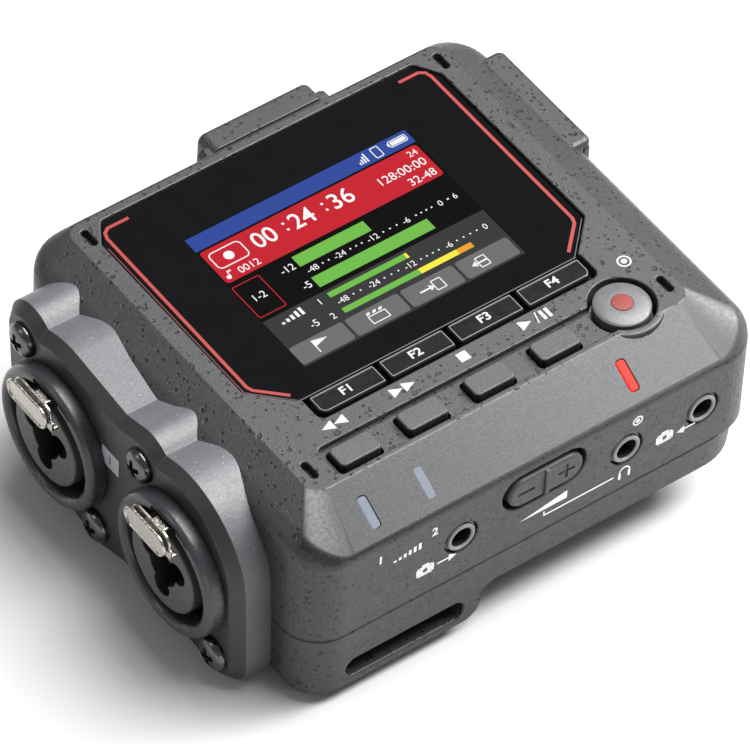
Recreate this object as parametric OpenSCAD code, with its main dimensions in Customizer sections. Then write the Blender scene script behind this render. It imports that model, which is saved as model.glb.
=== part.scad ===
// Portable field recorder: a low desk-top casing with a colour screen, soft keys,
// transport keys and a record key on top, two combination microphone sockets on the
// left end and three small jacks with a volume rocker on the front.
// Working axes: X to the reader's right, Y towards the top of the screen, Z up.
// The middle of the screen is at X = 0, Y = 0 and the feet stand on Z = 0.

/* [Body] */
// Width of the casing between its left and right walls
body_w = 84; // [82:0.5:86]
// Depth of the casing between its front and back walls
body_d = 75; // [74:0.5:77]
// Height of the top face above the surface that the feet stand on
body_h = 36; // [36:0.5:38]
// Casing wall thickness
wall = 1.8; // [1.5:0.1:2]
// Radius of the upright corners
corner_r = 6.7; // [5:0.1:7]

/* [Display] */
// Width of the visible screen area
screen_w = 40.8; // [40:0.1:41]
// Height of the visible screen area
screen_h = 30.6; // [30:0.1:31]
// Half width of the glossy display cover
lens_half_w = 31.5; // [31:0.1:32]
// Thickness of the display cover
lens_t = 1.5; // [1.2:0.1:1.6]

/* [Keys] */
// Width of one soft key
soft_key_w = 11.8; // [11:0.1:12]
// Depth of one soft key
soft_key_d = 3.9; // [3.6:0.1:4]
// Distance between soft keys
soft_key_pitch = 12.65; // [12.4:0.05:12.7]
// Width of one transport key
transport_w = 7.4; // [6.8:0.1:7.6]
// Distance between transport keys
transport_pitch = 12.2; // [12:0.1:12.3]
// Radius of the record key
rec_r = 4.5; // [4:0.1:4.7]
// Gap around a key
key_gap = 0.25; // [0.2:0.05:0.3]

/* [Sockets] */
// Bore radius of the small jacks, for 3.5 mm plugs
jack_bore_r = 1.8; // [1.78:0.01:1.85]
// Bore radius of the large jacks, for 6.35 mm plugs
large_bore_r = 3.25; // [3.2:0.01:3.3]
// Distance between the two combination sockets
socket_pitch = 30.1; // [30:0.1:31]
// Radius of the raised rim around a combination socket
socket_rim_r = 12; // [11.8:0.1:12.5]
// Minor radius of the quarter-inch tripod thread
tripod_r = 2.6; // [2.55:0.01:2.65]

/* [Hidden] */
$fn = 48;
hull_fn = 32;
eps = 0.01;

// Outer walls; the screen sits half a millimetre left of the casing's middle.
mid_x = 0.5;
left_x = mid_x - body_w / 2;
right_x = mid_x + body_w / 2;
front_y = -46;
back_y = front_y + body_d;
seam_z = body_h - 22.1;
under_z = 8.4;
bulge_z = 2.1;

// Top face and the slopes that lead down to the walls
top_left_x = -34.3;
top_right_x = 35.3;
top_front_y = -36.5;
top_back_y = 26.6;
top_r = 2.5;
slope_drop = 5.7;
shoulder_drop = 1.8;
top_skin = 3;
slope_run = top_front_y - front_y;
slope_angle = atan2(slope_drop, slope_run);

// Input panel and its two sockets
panel_x = -47.8;
panel_chamfer = 1.7;
panel_back_x = -36.5;
socket_z = 17;
socket_y = [7.9, 7.9 - socket_pitch];
socket_hole_r = 11.6;
screw_dy = 9.8;
screw_dz = 11.7;
rim_proud = 3;
latch_x = panel_x - 6.5;
latch_travel = 1;

// Back and right projections
link_back_y = back_y + 5.2;
card_door_x = right_x + 1.7;
// The model is placed with the middle of its outline over the origin.
shift_x = -(latch_x + card_door_x) / 2;
shift_y = -(front_y - 0.8 + link_back_y) / 2;

// Keys
lens_mid_x = 0.4;
lens_front_y = -20.4;
lens_back_y = 25.4;
lens_top_z = body_h - 0.4;
soft_key_x = [for (i = [0:3]) 0.9 + (i - 1.5) * soft_key_pitch];
soft_key_y = -22.7;
transport_x = [for (i = [0:3]) -24 + i * transport_pitch];
transport_y = -32.6;
transport_d = 4;
transport_floor = body_h - 1.2;
rec_at = [25.8, -31.8];
rec_collar_r = 6.5;
rec_hole_r = rec_r + 0.6;
key_flange_top = body_h - top_skin - 0.3;
key_flange_t = 0.8;
stem_r = 1.1;

// Boards and switches
board_z = 25.6;
board_t = 1.6;
board_top = board_z + board_t;
board_x0 = -27.2;
input_board_x = panel_x + 23;
switch_h = 1.7;
key_travel = 0.4;

// Front sockets and rocker
jack_x = [-13.8, 16.8, 31.1];
jack_z = body_h - 13.7;
jack_barrel_r = 2.9;
jack_len = 13;
rocker_at = [1.4, body_h - 10.6];
rocker_w = 13.8;
rocker_h = 5.5;
rocker_gap = 0.75;
rocker_pivot_y = front_y + 2.9;
rocker_pin_half = 4.6;

// Indicator windows on the front slope
light_x = [-28, -17.9, 19.5];
light_len = 5.1;
light_w = 1.5;
light_y = -41.6;
light_z = body_h - (top_front_y - light_y) * slope_drop / slope_run;

// Battery bay
cell_r = 7.1;
cell_len = 50.5;
cell_x = [10.4, 25.2];
cell_z = 17.7;
cell_y0 = -29.3;
door_x0 = 1.8;
door_x1 = 33.8;
door_y0 = -32;
hinge_y = 23.4;
hinge_z = under_z + 0.8;
hinge_barrel_r = 0.75;
pin_r = 0.45;
pin_hole_r = 0.5;
door_gap = 0.3;

// Feet, screws and tripod thread
foot_r = 3.2;
foot_at = [[-36.3, -40.2], [-36.3, 23.4]];
foot_depth = 0.5;
rail_x0 = 35.2;
rail_x1 = 39.4;
rail_y0 = -34;
rail_y1 = 20;
rail_pad = 1.2;
screw_at = [[37.8, -40.5], [37.9, 23.5], [24.2, -39.6], [-3, 24.2], [-20.3, 24]];
screw_floor = [under_z, under_z, under_z, under_z, bulge_z];
boss_r = 2.6;
screw_top_z = 20.4;
post_top = [body_h - 4.6, body_h - 2.8, body_h - 4.6, body_h - 2.8, body_h - 2.8];
tripod_at = [-27, -7.1];
tripod_len = 7;
insert_r = 4.4;

// Right-hand openings
knob_at = [-30, 22];
knob_travel = 2;
usb_at = [-15, 23.7];
card_at = [10.5, 28];
flap_y0 = -0.8;
flap_y1 = 21.9;
flap_z0 = 14.4;
flap_z1 = body_h - 3.4;
pod_x0 = 37.8;
pod_top_z = body_h - 1.9;
flap_pin_x = right_x + 0.95;
flap_pin_z = flap_z0 + 0.8;

// Back openings
video_x = [-13, 27];
video_z = 23.7;
link_x0 = -6.5;
link_x1 = 17.7;
link_z0 = 22.5;
link_z1 = body_h - 3;

plastic = [0.27, 0.27, 0.29];
plastic_dark = [0.13, 0.13, 0.14];
gloss_black = [0.03, 0.03, 0.035];
nickel = [0.72, 0.7, 0.66];
board_green = [0.06, 0.25, 0.16];
brass = [0.78, 0.62, 0.3];
signal_red = [0.8, 0.1, 0.08];

// ---- helpers -------------------------------------------------------------------

module rounded_rect(x0, x1, y0, y1, r) {
    translate([x0 + r, y0]) square([x1 - x0 - 2 * r, y1 - y0]);
    translate([x0, y0 + r]) square([x1 - x0, y1 - y0 - 2 * r]);
    for (x = [x0 + r, x1 - r], y = [y0 + r, y1 - r]) translate([x, y]) circle(r);
}

module slab(x0, x1, y0, y1, z0, z1, r) {
    translate([0, 0, z0]) linear_extrude(z1 - z0) rounded_rect(x0, x1, y0, y1, r);
}

module block(x0, x1, y0, y1, z0, z1) {
    translate([x0, y0, z0]) cube([x1 - x0, y1 - y0, z1 - z0]);
}

// Children drawn in (Y, Z) and given a thickness from x0 to x1
module along_x(x0, x1) {
    translate([x0, 0, 0]) rotate([90, 0, 90]) linear_extrude(x1 - x0) children();
}

// Children drawn in (X, Z) and given a thickness from y0 to y1
module along_y(y0, y1) {
    translate([0, y1, 0]) rotate([90, 0, 0]) linear_extrude(y1 - y0) children();
}

module rod_x(x0, x1, y, z, r) {
    translate([x0, y, z]) rotate([0, 90, 0]) cylinder(r = r, h = x1 - x0);
}

module rod_y(y0, y1, x, z, r) {
    translate([x, y1, z]) rotate([90, 0, 0]) cylinder(r = r, h = y1 - y0);
}

module rod_z(z0, z1, x, y, r) {
    translate([x, y, z0]) cylinder(r = r, h = z1 - z0);
}

module corner_posts(x0, x1, y0, y1, z0, z1, r) {
    for (x = [x0 + r, x1 - r], y = [y0 + r, y1 - r])
        translate([x, y, z0]) cylinder(r = r, h = z1 - z0, $fn = hull_fn);
}

// ---- casing forms -----------------------------------------------------------------

// The upper form down to the seam: a flat top, sloping shoulders and upright walls
module upper_form() {
    hull() {
        corner_posts(top_left_x, top_right_x, top_front_y, top_back_y,
                     body_h - 0.4, body_h, top_r);
        corner_posts(top_left_x - 4.6, top_right_x + 4.6,
                     top_front_y - shoulder_drop / tan(slope_angle), top_back_y + 1.6,
                     body_h - shoulder_drop - 0.1, body_h - shoulder_drop, 4);
        corner_posts(left_x, right_x, front_y, back_y, seam_z, body_h - slope_drop, corner_r);
        corner_posts(left_x + 5, right_x - 5, back_y - 8, back_y,
                     body_h - 4, body_h - 2.6, 4);
    }
}

module upper_hollow() {
    hull() {
        corner_posts(top_left_x + 0.6, top_right_x - 0.6, top_front_y + 1.2, top_back_y - 0.6,
                     body_h - top_skin - 0.1, body_h - top_skin, top_r);
        corner_posts(left_x + wall, right_x - wall, front_y + wall, back_y - wall,
                     seam_z - 1, body_h - slope_drop - 1, corner_r - wall);
    }
}

// Section across the lower casing, drawn in (X, Z): a deep bulge on the left that
// steps up to a flat underside with a rounded right-hand edge
module lower_section(inset) {
    edge_r = 6;
    x0 = left_x + inset;
    x1 = right_x - 0.2 - inset;
    bulge = bulge_z + inset;
    under = under_z + inset;
    r = edge_r - inset;
    difference() {
        union() {
            polygon([[x0, seam_z + 1], [x0, bulge + 2.5], [x0 + 2.5, bulge], [-12.4 - inset / 2, bulge],
                     [-10.4 - inset / 2, bulge + 1.2], [-7.6 - inset / 2, under - 1.2],
                     [-5.6 - inset / 2, under], [x1 - r, under], [x1 - r, seam_z + 1]]);
            translate([x1 - r, under + r]) intersection() {
                circle(r);
                translate([-eps, -r]) square(r + eps);
            }
            translate([x1 - r - eps, under + r]) square([r + eps, seam_z + 1 - under - r]);
        }
        translate([x0 - 1, seam_z]) square([body_w + 2, 2]);
    }
}

module lower_form(inset) {
    tight_r = corner_r - inset;
    wide_r = 9.6 - inset;
    intersection() {
        along_y(front_y + inset, back_y - inset) lower_section(inset);
        union() {
            slab(left_x + inset, mid_x + 10, front_y + inset, back_y - inset,
                 0, seam_z, tight_r);
            slab(mid_x - 10, right_x - 0.2 - inset, front_y + inset, back_y - inset,
                 0, seam_z, wide_r);
        }
    }
}

// ---- outline of the input panel, drawn in (Y, Z) ------------------------------------

module panel_outline(grow) {
    big_r = 15 + grow;
    lug_r = 4 + grow;
    low_z = bulge_z - 0.4 - min(grow, 0.5);
    intersection() {
        union() {
            for (y = socket_y) {
                translate([y, socket_z]) circle(big_r);
                translate([y + screw_dy, socket_z + screw_dz]) circle(lug_r);
                translate([y - screw_dy, socket_z - screw_dz]) circle(lug_r);
                // web between the socket and each screw
                translate([y + screw_dy - lug_r, socket_z]) square([2 * lug_r, screw_dz]);
                translate([y - screw_dy - lug_r, socket_z - screw_dz]) square([2 * lug_r, screw_dz]);
            }
            // plain web across the middle and down to the base
            translate([socket_y[1], 5.2 - grow]) square([socket_pitch, 25 + 2 * grow]);
            translate([socket_y[1] - big_r + 0.6, low_z]) square([6 + grow, 9]);
            translate([socket_y[0], low_z + 3]) square([screw_dy + lug_r, 12]);
        }
        translate([-60, low_z]) square([120, 60]);
    }
}

// ---- casings -----------------------------------------------------------------------

module lens_outline(gap) {
    w = lens_half_w + gap;
    translate([lens_mid_x, 0])
        polygon([[-w, lens_back_y - 4], [-w, lens_front_y + 6], [-25.5 - gap, lens_front_y - gap],
                 [25.5 + gap, lens_front_y - gap], [w, lens_front_y + 6], [w, lens_back_y - 4],
                 [w - 2.6, lens_back_y + gap], [2.6 - w, lens_back_y + gap]]);
}

module slope_place(x) {
    translate([x, light_y, light_z]) rotate([slope_angle, 0, 0]) children();
}

module top_casing() {
    color(plastic) difference() {
        union() {
            difference() {
                union() {
                    upper_form();
                    // pod over the card opening, with a lip above its door
                    slab(pod_x0, right_x + 0.1, flap_y0 - 0.3, flap_y1 + 0.2, body_h - 8,
                         pod_top_z, 0.5);
                    slab(pod_x0, card_door_x - 0.2, flap_y0 - 0.3, flap_y1 + 0.2,
                         flap_z1 + 0.3, pod_top_z, 1.5);
                    // collar around the record key
                    rod_z(body_h - slope_drop, body_h, rec_at[0], rec_at[1], rec_collar_r);
                }
                upper_hollow();
            }
            // screw posts from the top skin down to the seam
            for (i = [0:len(screw_at) - 1])
                rod_z(seam_z, post_top[i], screw_at[i][0], screw_at[i][1], boss_r);
            // ears above and below the rocker that hold its pivot pin
            for (z = [rocker_at[1] - rocker_pin_half - 0.3, rocker_at[1] + rocker_pin_half - 0.7])
                block(rocker_at[0] - 1.6, rocker_at[0] + 1.6, front_y + wall - 0.2,
                      rocker_pivot_y + 1, z, z + 1);
            // hinge ears for the card door
            for (y = [flap_y0 - 1.6, flap_y1 + 0.3])
                block(right_x - 0.5, card_door_x, y, y + 1.3, flap_z0, flap_z0 + 1.6);
        }
        // recess for the display cover, and the window behind it
        translate([0, 0, lens_top_z - lens_t]) linear_extrude(5) lens_outline(0.1);
        slab(-screen_w / 2 - 1, screen_w / 2 + 1, -screen_h / 2 - 1, screen_h / 2 + 1,
             body_h - 6, body_h, 0.5);
        // recess and openings for the soft keys
        slab(soft_key_x[0] - 6.8, soft_key_x[3] + 6.8, soft_key_y - 2.6, lens_front_y + 1,
             body_h - 0.8, body_h + 1, 0.8);
        for (x = soft_key_x) key_opening(x, soft_key_y, soft_key_w, soft_key_d);
        // recess and openings for the transport keys
        slab(transport_x[0] - 4.8, transport_x[3] + 7.8, transport_y - 3, transport_y + 3,
             transport_floor, body_h + 1, 1);
        for (x = transport_x) key_opening(x, transport_y, transport_w, transport_d);
        rod_z(body_h - 9, body_h + 1, rec_at[0], rec_at[1], rec_hole_r);
        // four shallow slots at the corners of the top face
        for (x = [-31.9, 33.5], y = [-32.2, 23.6])
            slab(x - 0.7, x + 0.7, y - 1.8, y + 1.8, body_h - 0.8, body_h + 1, 0.65);
        for (x = light_x)
            slope_place(x) block(-light_w / 2 - 0.1, light_w / 2 + 0.1, -light_len / 2 - 0.1,
                                 light_len / 2 + 0.1, -4, 3);
        // front wall: three jacks and the rocker
        for (x = jack_x) rod_y(front_y - 1, front_y + 3, x, jack_z, jack_barrel_r + 0.1);
        along_y(front_y - 1, front_y + 2.4) rocker_outline(rocker_gap);
        // left wall: sockets
        block(left_x - 1, left_x + 8, socket_y[1] - 12.2, socket_y[0] + 12.2,
              seam_z - 1, socket_z + 12.2);
        // right wall: power knob, data port and card slot
        block(right_x - 3, right_x + 1, knob_at[0] - 3.6 - knob_travel / 2 - 0.8,
              knob_at[0] + 3.6 + knob_travel / 2 + 0.8, knob_at[1] - 1.5, knob_at[1] + 1.5);
        block(right_x - 3, right_x + 1, usb_at[0] - 4.8, usb_at[0] + 4.8,
              usb_at[1] - 1.75, usb_at[1] + 1.85);
        block(right_x - 3, right_x + 1, card_at[0] - 6.2, card_at[0] + 6.2,
              card_at[1] - 0.9, card_at[1] + 0.9);
        rod_y(flap_y0 - 2, flap_y1 + 2, flap_pin_x, flap_pin_z, pin_hole_r);
        rod_z(rocker_at[1] - 6, rocker_at[1] + rocker_pin_half + 0.1, rocker_at[0], rocker_pivot_y,
              pin_hole_r);
        // back wall: video ports and the link connector
        for (x = video_x)
            block(x - 3.8, x + 3.8, back_y - 3, back_y + 1, video_z - 1.75, video_z + 1.85);
        block(link_x0 + 6.4, link_x1 - 4.4, back_y - 3, back_y + 1, board_top - 0.1,
              board_top + 4.2);
        for (p = screw_at) rod_z(seam_z - 1, board_z - 3, p[0], p[1], 0.9);
    }
}

module key_opening(x, y, w, d) {
    slab(x - w / 2 - key_gap, x + w / 2 + key_gap, y - d / 2 - key_gap, y + d / 2 + key_gap,
         body_h - 6, body_h + 1, 0.6);
}

module bottom_casing() {
    color(plastic) difference() {
        union() {
            difference() {
                lower_form(0);
                difference() {
                    lower_form(wall);
                    // closed pocket behind the strap slot
                    block(-35.6, -10.6, front_y, front_y + 9.4, 0, 8.8);
                    // seat of the tripod insert
                    rod_z(0, bulge_z + tripod_len + 1.2, tripod_at[0], tripod_at[1],
                          insert_r + 1.6);
                    for (p = screw_at) rod_z(0, seam_z, p[0], p[1], boss_r);
                }
            }
            // skid rail under the shallow right-hand side
            slab(rail_x0, rail_x1, rail_y0, rail_y1, rail_pad, under_z + 2.4, 1.9);
        }
        // strap slot: in at the front wall and out through the base behind a bar
        slab(-34, -12.4, front_y - 1, front_y + 8.2, 3.5, 7.2, 0.6);
        block(-34, -12.4, front_y + 3.8, front_y + 8.2, 0, 5);
        // left wall: sockets
        block(left_x - 1, left_x + 8, socket_y[1] - 12.2, socket_y[0] + 12.2,
              socket_z - 12.2, seam_z + 1);
        // battery opening with its hinge pocket
        block(door_x0 - door_gap, door_x1 + door_gap, door_y0 - door_gap, hinge_y + 1.1,
              0, under_z + wall + 0.1);
        rod_x(door_x0 - 1.6, door_x1 + 1.6, hinge_y, hinge_z, pin_hole_r);
        rod_z(0, bulge_z + tripod_len, tripod_at[0], tripod_at[1], insert_r);
        for (i = [0:len(screw_at) - 1]) {
            rod_z(0, seam_z + 1, screw_at[i][0], screw_at[i][1], 1.15);
            rod_z(0, screw_floor[i] + 1.6, screw_at[i][0], screw_at[i][1], 2.2);
        }
        for (p = foot_at) rod_z(0, bulge_z + foot_depth, p[0], p[1], foot_r);
    }
}

module input_panel() {
    color(plastic_dark) difference() {
        union() {
            along_x(panel_x + panel_chamfer, panel_back_x) panel_outline(panel_chamfer);
            // bevelled rim built from thin steps
            steps = 5;
            for (i = [0:steps - 1])
                along_x(panel_x + i * panel_chamfer / steps, panel_x + panel_chamfer + eps)
                    panel_outline((i + 0.5) * panel_chamfer / steps);
        }
        upper_form();
        slab(left_x, right_x, front_y, back_y, -1, seam_z + eps, corner_r);
        for (y = socket_y) rod_x(panel_x - 1, panel_back_x + 1, y, socket_z, socket_hole_r);
        for (y = socket_y, s = [-1, 1])
            rod_x(panel_x - 1, panel_x + 5, y + s * screw_dy, socket_z + s * screw_dz, 1.15);
    }
}

// ---- display -------------------------------------------------------------------------

module display_cover() {
    color(gloss_black) translate([0, 0, lens_top_z - lens_t]) linear_extrude(lens_t)
        lens_outline(0);
}

module screen_gasket() {
    z1 = body_h - top_skin;
    color("dimgray") difference() {
        slab(-24, 24, -18.6, 18.6, z1 - 0.5, z1, 0.5);
        slab(-screen_w / 2 - 1, screen_w / 2 + 1, -screen_h / 2 - 1, screen_h / 2 + 1,
             z1 - 1, z1 + 1, 0.5);
    }
}

module screen_module() {
    z1 = body_h - top_skin - 0.5;
    color("midnightblue") {
        slab(-25, 25, -19.2, 19.8, z1 - 2.5, z1, 0.6);
        // the active glass stands up into the window
        slab(-screen_w / 2, screen_w / 2, -screen_h / 2, screen_h / 2, z1 - 0.1,
             lens_top_z - lens_t - 0.1, 0.2);
    }
}

module screen_ribbon() {
    top = body_h - top_skin - 3;
    color("orange") along_x(-6, 6)
        polygon([[12, top], [12, top - 0.3], [21.2, top - 0.3], [21.2, board_top],
                 [21.5, board_top], [21.5, top]]);
}

// ---- keys ----------------------------------------------------------------------------

// A key: cap, retaining flange under the casing and a stem over its switch
module key(x, y, w, d, top_z, r) {
    slab(x - w / 2, x + w / 2, y - d / 2, y + d / 2, key_flange_top - eps, top_z, r);
    slab(x - w / 2 - 0.15, x + w / 2 + 0.15, y - d / 2 - 0.5, y + d / 2 + 0.5,
         key_flange_top - key_flange_t, key_flange_top, r);
    rod_z(board_top + switch_h + key_travel + 0.1, key_flange_top - key_flange_t + eps, x, y, stem_r);
}

module soft_key(i) {
    color(gloss_black) key(soft_key_x[i], soft_key_y, soft_key_w, soft_key_d, body_h + 0.1, 0.5);
}

module transport_key(i) {
    color(plastic_dark)
        key(transport_x[i], transport_y, transport_w, transport_d, body_h + 0.2, 0.5);
}

module record_key() {
    x = rec_at[0];
    y = rec_at[1];
    dot_r = 1.65;
    color(plastic) difference() {
        union() {
            rod_z(key_flange_top - eps, body_h + 0.3, x, y, rec_r);
            rod_z(key_flange_top - key_flange_t, key_flange_top, x, y, rec_r + 0.4);
            rod_z(board_top + switch_h + key_travel + 0.1, key_flange_top, x, y, stem_r);
        }
        rod_z(body_h - 0.5, body_h + 1, x, y, dot_r);
    }
}

module record_dot() {
    color(signal_red) rod_z(body_h - 0.5, body_h + 0.35, rec_at[0], rec_at[1], 1.65);
}

module key_switches() {
    color("silver") {
        for (x = soft_key_x) switch_at(x, soft_key_y);
        for (x = transport_x) switch_at(x, transport_y);
        switch_at(rec_at[0], rec_at[1]);
    }
}

module switch_at(x, y) {
    block(x - 2, x + 2, y - 2, y + 2, board_top, board_top + switch_h - 0.4);
    rod_z(board_top, board_top + switch_h, x, y, 1);
}

// ---- indicators ------------------------------------------------------------------------

module light_pipe(i, tint) {
    color(tint) slope_place(light_x[i])
        block(-light_w / 2, light_w / 2, -light_len / 2, light_len / 2, -3.2, 0.1);
}

module indicator_leds() {
    color("white") for (x = light_x)
        block(x - 0.8, x + 0.8, light_y, light_y + 1.6, board_top, board_top + 0.9);
}

// ---- front wall ----------------------------------------------------------------------

module rocker_outline(gap) {
    r = rocker_h / 2 + gap;
    for (s = [-1, 1])
        translate([rocker_at[0] + s * (rocker_w - rocker_h) / 2, rocker_at[1]]) circle(r);
    translate([rocker_at[0] - (rocker_w - rocker_h) / 2, rocker_at[1] - r])
        square([rocker_w - rocker_h, 2 * r]);
}

module volume_rocker() {
    x = rocker_at[0];
    z = rocker_at[1];
    color(plastic_dark) difference() {
        union() {
            along_y(front_y - 0.4, front_y + 3.3) rocker_outline(0);
            // raised bar across the middle
            block(x - 0.4, x + 0.4, front_y - 0.8, front_y, z - 2.6, z + 2.6);
            block(x - 8.8, x + 8.8, front_y + 2.5, front_y + 3.3, z - 3.7, z + 3.7);
            for (s = [-1, 1]) rod_y(front_y + 3.2, front_y + 3.9, x + s * 5, z - 1.2, 0.9);
            // upright pivot pin
            rod_z(z - rocker_pin_half, z + rocker_pin_half, x, rocker_pivot_y, pin_r);
        }
        // engraved minus and plus
        block(x - 5.2, x - 2.2, front_y - 1, front_y - 0.1, z - 0.3, z + 0.3);
        block(x + 2.2, x + 5.2, front_y - 1, front_y - 0.1, z - 0.3, z + 0.3);
        block(x + 3.4, x + 4, front_y - 1, front_y - 0.1, z - 1.5, z + 1.5);
    }
}

module rocker_switches() {
    x = rocker_at[0];
    z = rocker_at[1] - 1.2;
    color("silver") for (s = [-1, 1]) {
        block(x + s * 5 - 2.2, x + s * 5 + 2.2, front_y + 4.9, front_y + 7.4, z - 1.6, board_z);
        rod_y(front_y + 4.4, front_y + 5, x + s * 5, z, 0.8);
    }
}

module small_jack(i) {
    x = jack_x[i];
    color(gloss_black) difference() {
        union() {
            rod_y(front_y - 0.2, front_y + 2.4, x, jack_z, jack_barrel_r);
            block(x - 3.2, x + 3.2, front_y + 2, front_y + jack_len, jack_z - 3, board_z);
        }
        rod_y(front_y - 1, front_y + jack_len - 1, x, jack_z, jack_bore_r);
    }
}

// ---- combination sockets ---------------------------------------------------------------

// Radial section of the shell: a rounded rim in front of the panel and a sleeve behind it
module shell_section() {
    inner = 9.7;
    rim = socket_rim_r;
    mid = (inner + rim) / 2;
    half = (rim - inner) / 2;
    translate([inner, 0]) square([rim - inner, rim_proud - half]);
    translate([mid, rim_proud - half]) circle(half);
    translate([inner, -20]) square([socket_hole_r - 0.1 - inner, 20 + eps]);
}

module socket_shell(i) {
    y = socket_y[i];
    color(plastic_dark) difference() {
        translate([panel_x, y, socket_z]) rotate([0, -90, 0])
            rotate_extrude($fn = 72) shell_section();
        // notch for the release latch
        block(panel_x - rim_proud - 1, panel_x + 9, y - 4.8, y + 4.8,
              socket_z + 9, socket_z + 13);
    }
}

module socket_insert(i) {
    y = socket_y[i];
    color([0.33, 0.33, 0.35]) difference() {
        union() {
            rod_x(panel_x - rim_proud + 0.1, panel_x + 20, y, socket_z, 7.75);
            rod_x(panel_x + 16, panel_x + 20, y, socket_z, 9.65);
        }
        rod_x(panel_x - 6, panel_x + 17, y, socket_z, large_bore_r);
        for (p = contact_spots(y)) {
            rod_x(panel_x - 6, panel_x + 21, p[0], p[1], 1.3);
            rod_x(panel_x - 6, panel_x - rim_proud + 1.6, p[0], p[1], 2.1);
        }
    }
}

// Places of the three microphone contacts around a socket's middle
function contact_spots(y) =
    [for (a = [155, 270, 25]) [y + 5.1 * cos(a), socket_z + 5.1 * sin(a)]];

module socket_contacts() {
    color(brass) for (y = socket_y, p = contact_spots(y)) {
        rod_x(panel_x + 2, panel_x + 16, p[0], p[1], 1.25);
        rod_x(panel_x + 15, input_board_x - eps, p[0], p[1], 0.5);
    }
}

module latch(i) {
    y = socket_y[i];
    z = socket_z + 10.4;
    color(nickel) {
        // oval thumb plate
        along_x(latch_x, latch_x + 0.9) {
            for (s = [-1, 1]) translate([y + s * 3.2, z]) circle(2.1);
            translate([y - 3.2, z - 2.1]) square([6.4, 4.2]);
        }
        // arm through the notch in the rim, and the blade that holds the plug
        block(latch_x + 0.8, panel_x + 6.6, y - 4.2, y + 4.2, z - 0.9, z - 0.1);
        block(panel_x + 5.8, panel_x + 6.6, y - 3, y + 3, z - 1.9, z - 0.5);
    }
}

module input_screws() {
    color([0.2, 0.2, 0.21]) for (y = socket_y, s = [-1, 1])
        translate([panel_x, y + s * screw_dy, socket_z + s * screw_dz]) rotate([0, -90, 0])
            difference() {
                union() {
                    cylinder(r1 = 2.9, r2 = 2.2, h = 1.5);
                    translate([0, 0, -4.6]) cylinder(r = 1.1, h = 4.7);
                }
                for (a = [0, 90]) rotate([0, 0, a + 20]) translate([-1.5, -0.3, 0.7])
                    cube([3, 0.6, 1]);
            }
}

// ---- boards -----------------------------------------------------------------------------

module input_board() {
    color(board_green) difference() {
        along_x(input_board_x, input_board_x + board_t)
            rounded_rect(-33, 20, 10.6, board_z - 0.3, 1);
        for (y = socket_y, p = contact_spots(y))
            rod_x(input_board_x - 1, input_board_x + 3, p[0], p[1], 0.6);
    }
}

module board_link() {
    color("ivory") block(input_board_x + board_t, input_board_x + board_t + 6, -12, -2,
                         board_z - 3.4, board_z);
}

module main_board() {
    color(board_green) difference() {
        union() {
            slab(board_x0, right_x - wall - 1.2, front_y + 4, back_y - wall - 1,
                 board_z, board_top, 4);
            // tongue in front of the sockets, for the left-hand indicator
            slab(board_x0 - 4, board_x0 + 12, front_y + 4, front_y + 11.4, board_z, board_top, 1);
        }
        for (p = screw_at) rod_z(board_z - 1, board_top + 1, p[0], p[1], boss_r + 0.15);
    }
}

// ---- batteries ----------------------------------------------------------------------------

module battery_tray() {
    z0 = under_z + wall;
    color(plastic_dark) difference() {
        union() {
            slab(1.8, 33.8, -32, 23.2, z0, board_z - 0.2, 1);
            slab(-0.5, 36, -34, 25.4, z0, z0 + 0.8, 1);
        }
        block(2.8, 32.8, -31, 22.2, z0 - 1, board_z - 0.7);
        for (p = screw_at) rod_z(z0 - 1, board_z, p[0], p[1], boss_r + 0.1);
        block(rail_x0 - 0.1, rail_x1 + 1, rail_y0 - 0.1, rail_y1 + 0.1, z0 - 1, under_z + 2.5);
    }
}

module batteries() {
    cap = 1.2;
    color("steelblue") for (i = [0, 1]) {
        flip = i == 0 ? 1 : -1;
        y0 = cell_y0 + (i == 0 ? 0 : cap);
        rod_y(y0, y0 + cell_len - cap, cell_x[i], cell_z, cell_r);
        tip = i == 0 ? cell_y0 + cell_len - cap : cell_y0;
        rod_y(tip, tip + cap, cell_x[i], cell_z, 2.6);
    }
}

module battery_springs() {
    wire = 0.3;
    color(nickel) {
        spring(cell_x[0], cell_y0, -1, wire);
        spring(cell_x[1], cell_y0 + cell_len, 1, wire);
    }
}

// A short conical spring drawn as touching turns, standing away from the cell
module spring(x, y, side, wire) {
    turns = 1;
    for (i = [0:turns]) {
        depth = wire + i * wire * 1.2;
        translate([x, y + side * depth, cell_z]) rotate([90, 0, 0])
            rotate_extrude() translate([2.6 + i * 0.4, 0]) circle(wire, $fn = 16);
    }
}

module battery_plates() {
    color(nickel) {
        block(4, 16.8, -31, -30.6, 12, 23.4);
        block(18.8, 31.6, cell_y0 - 0.4, cell_y0, 12, 23.4);
    }
}

module battery_door() {
    color(plastic) {
        block(door_x0, door_x1, door_y0, hinge_y - 0.2, under_z, under_z + 1.4);
        rod_x(door_x0, door_x1, hinge_y, hinge_z, hinge_barrel_r);
        block(door_x0, door_x1, hinge_y - 0.9, hinge_y, hinge_z - hinge_barrel_r,
              hinge_z + 0.4);
        rod_x(door_x0 - 1.2, door_x1 + 1.2, hinge_y, hinge_z, pin_r);
        // grip ribs near the free edge
        for (i = [0:4])
            block(12, 23.6, door_y0 + 4 + i * 1.6, door_y0 + 4.8 + i * 1.6,
                  under_z - 0.4, under_z + eps);
    }
}

// ---- base ------------------------------------------------------------------------------

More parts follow.
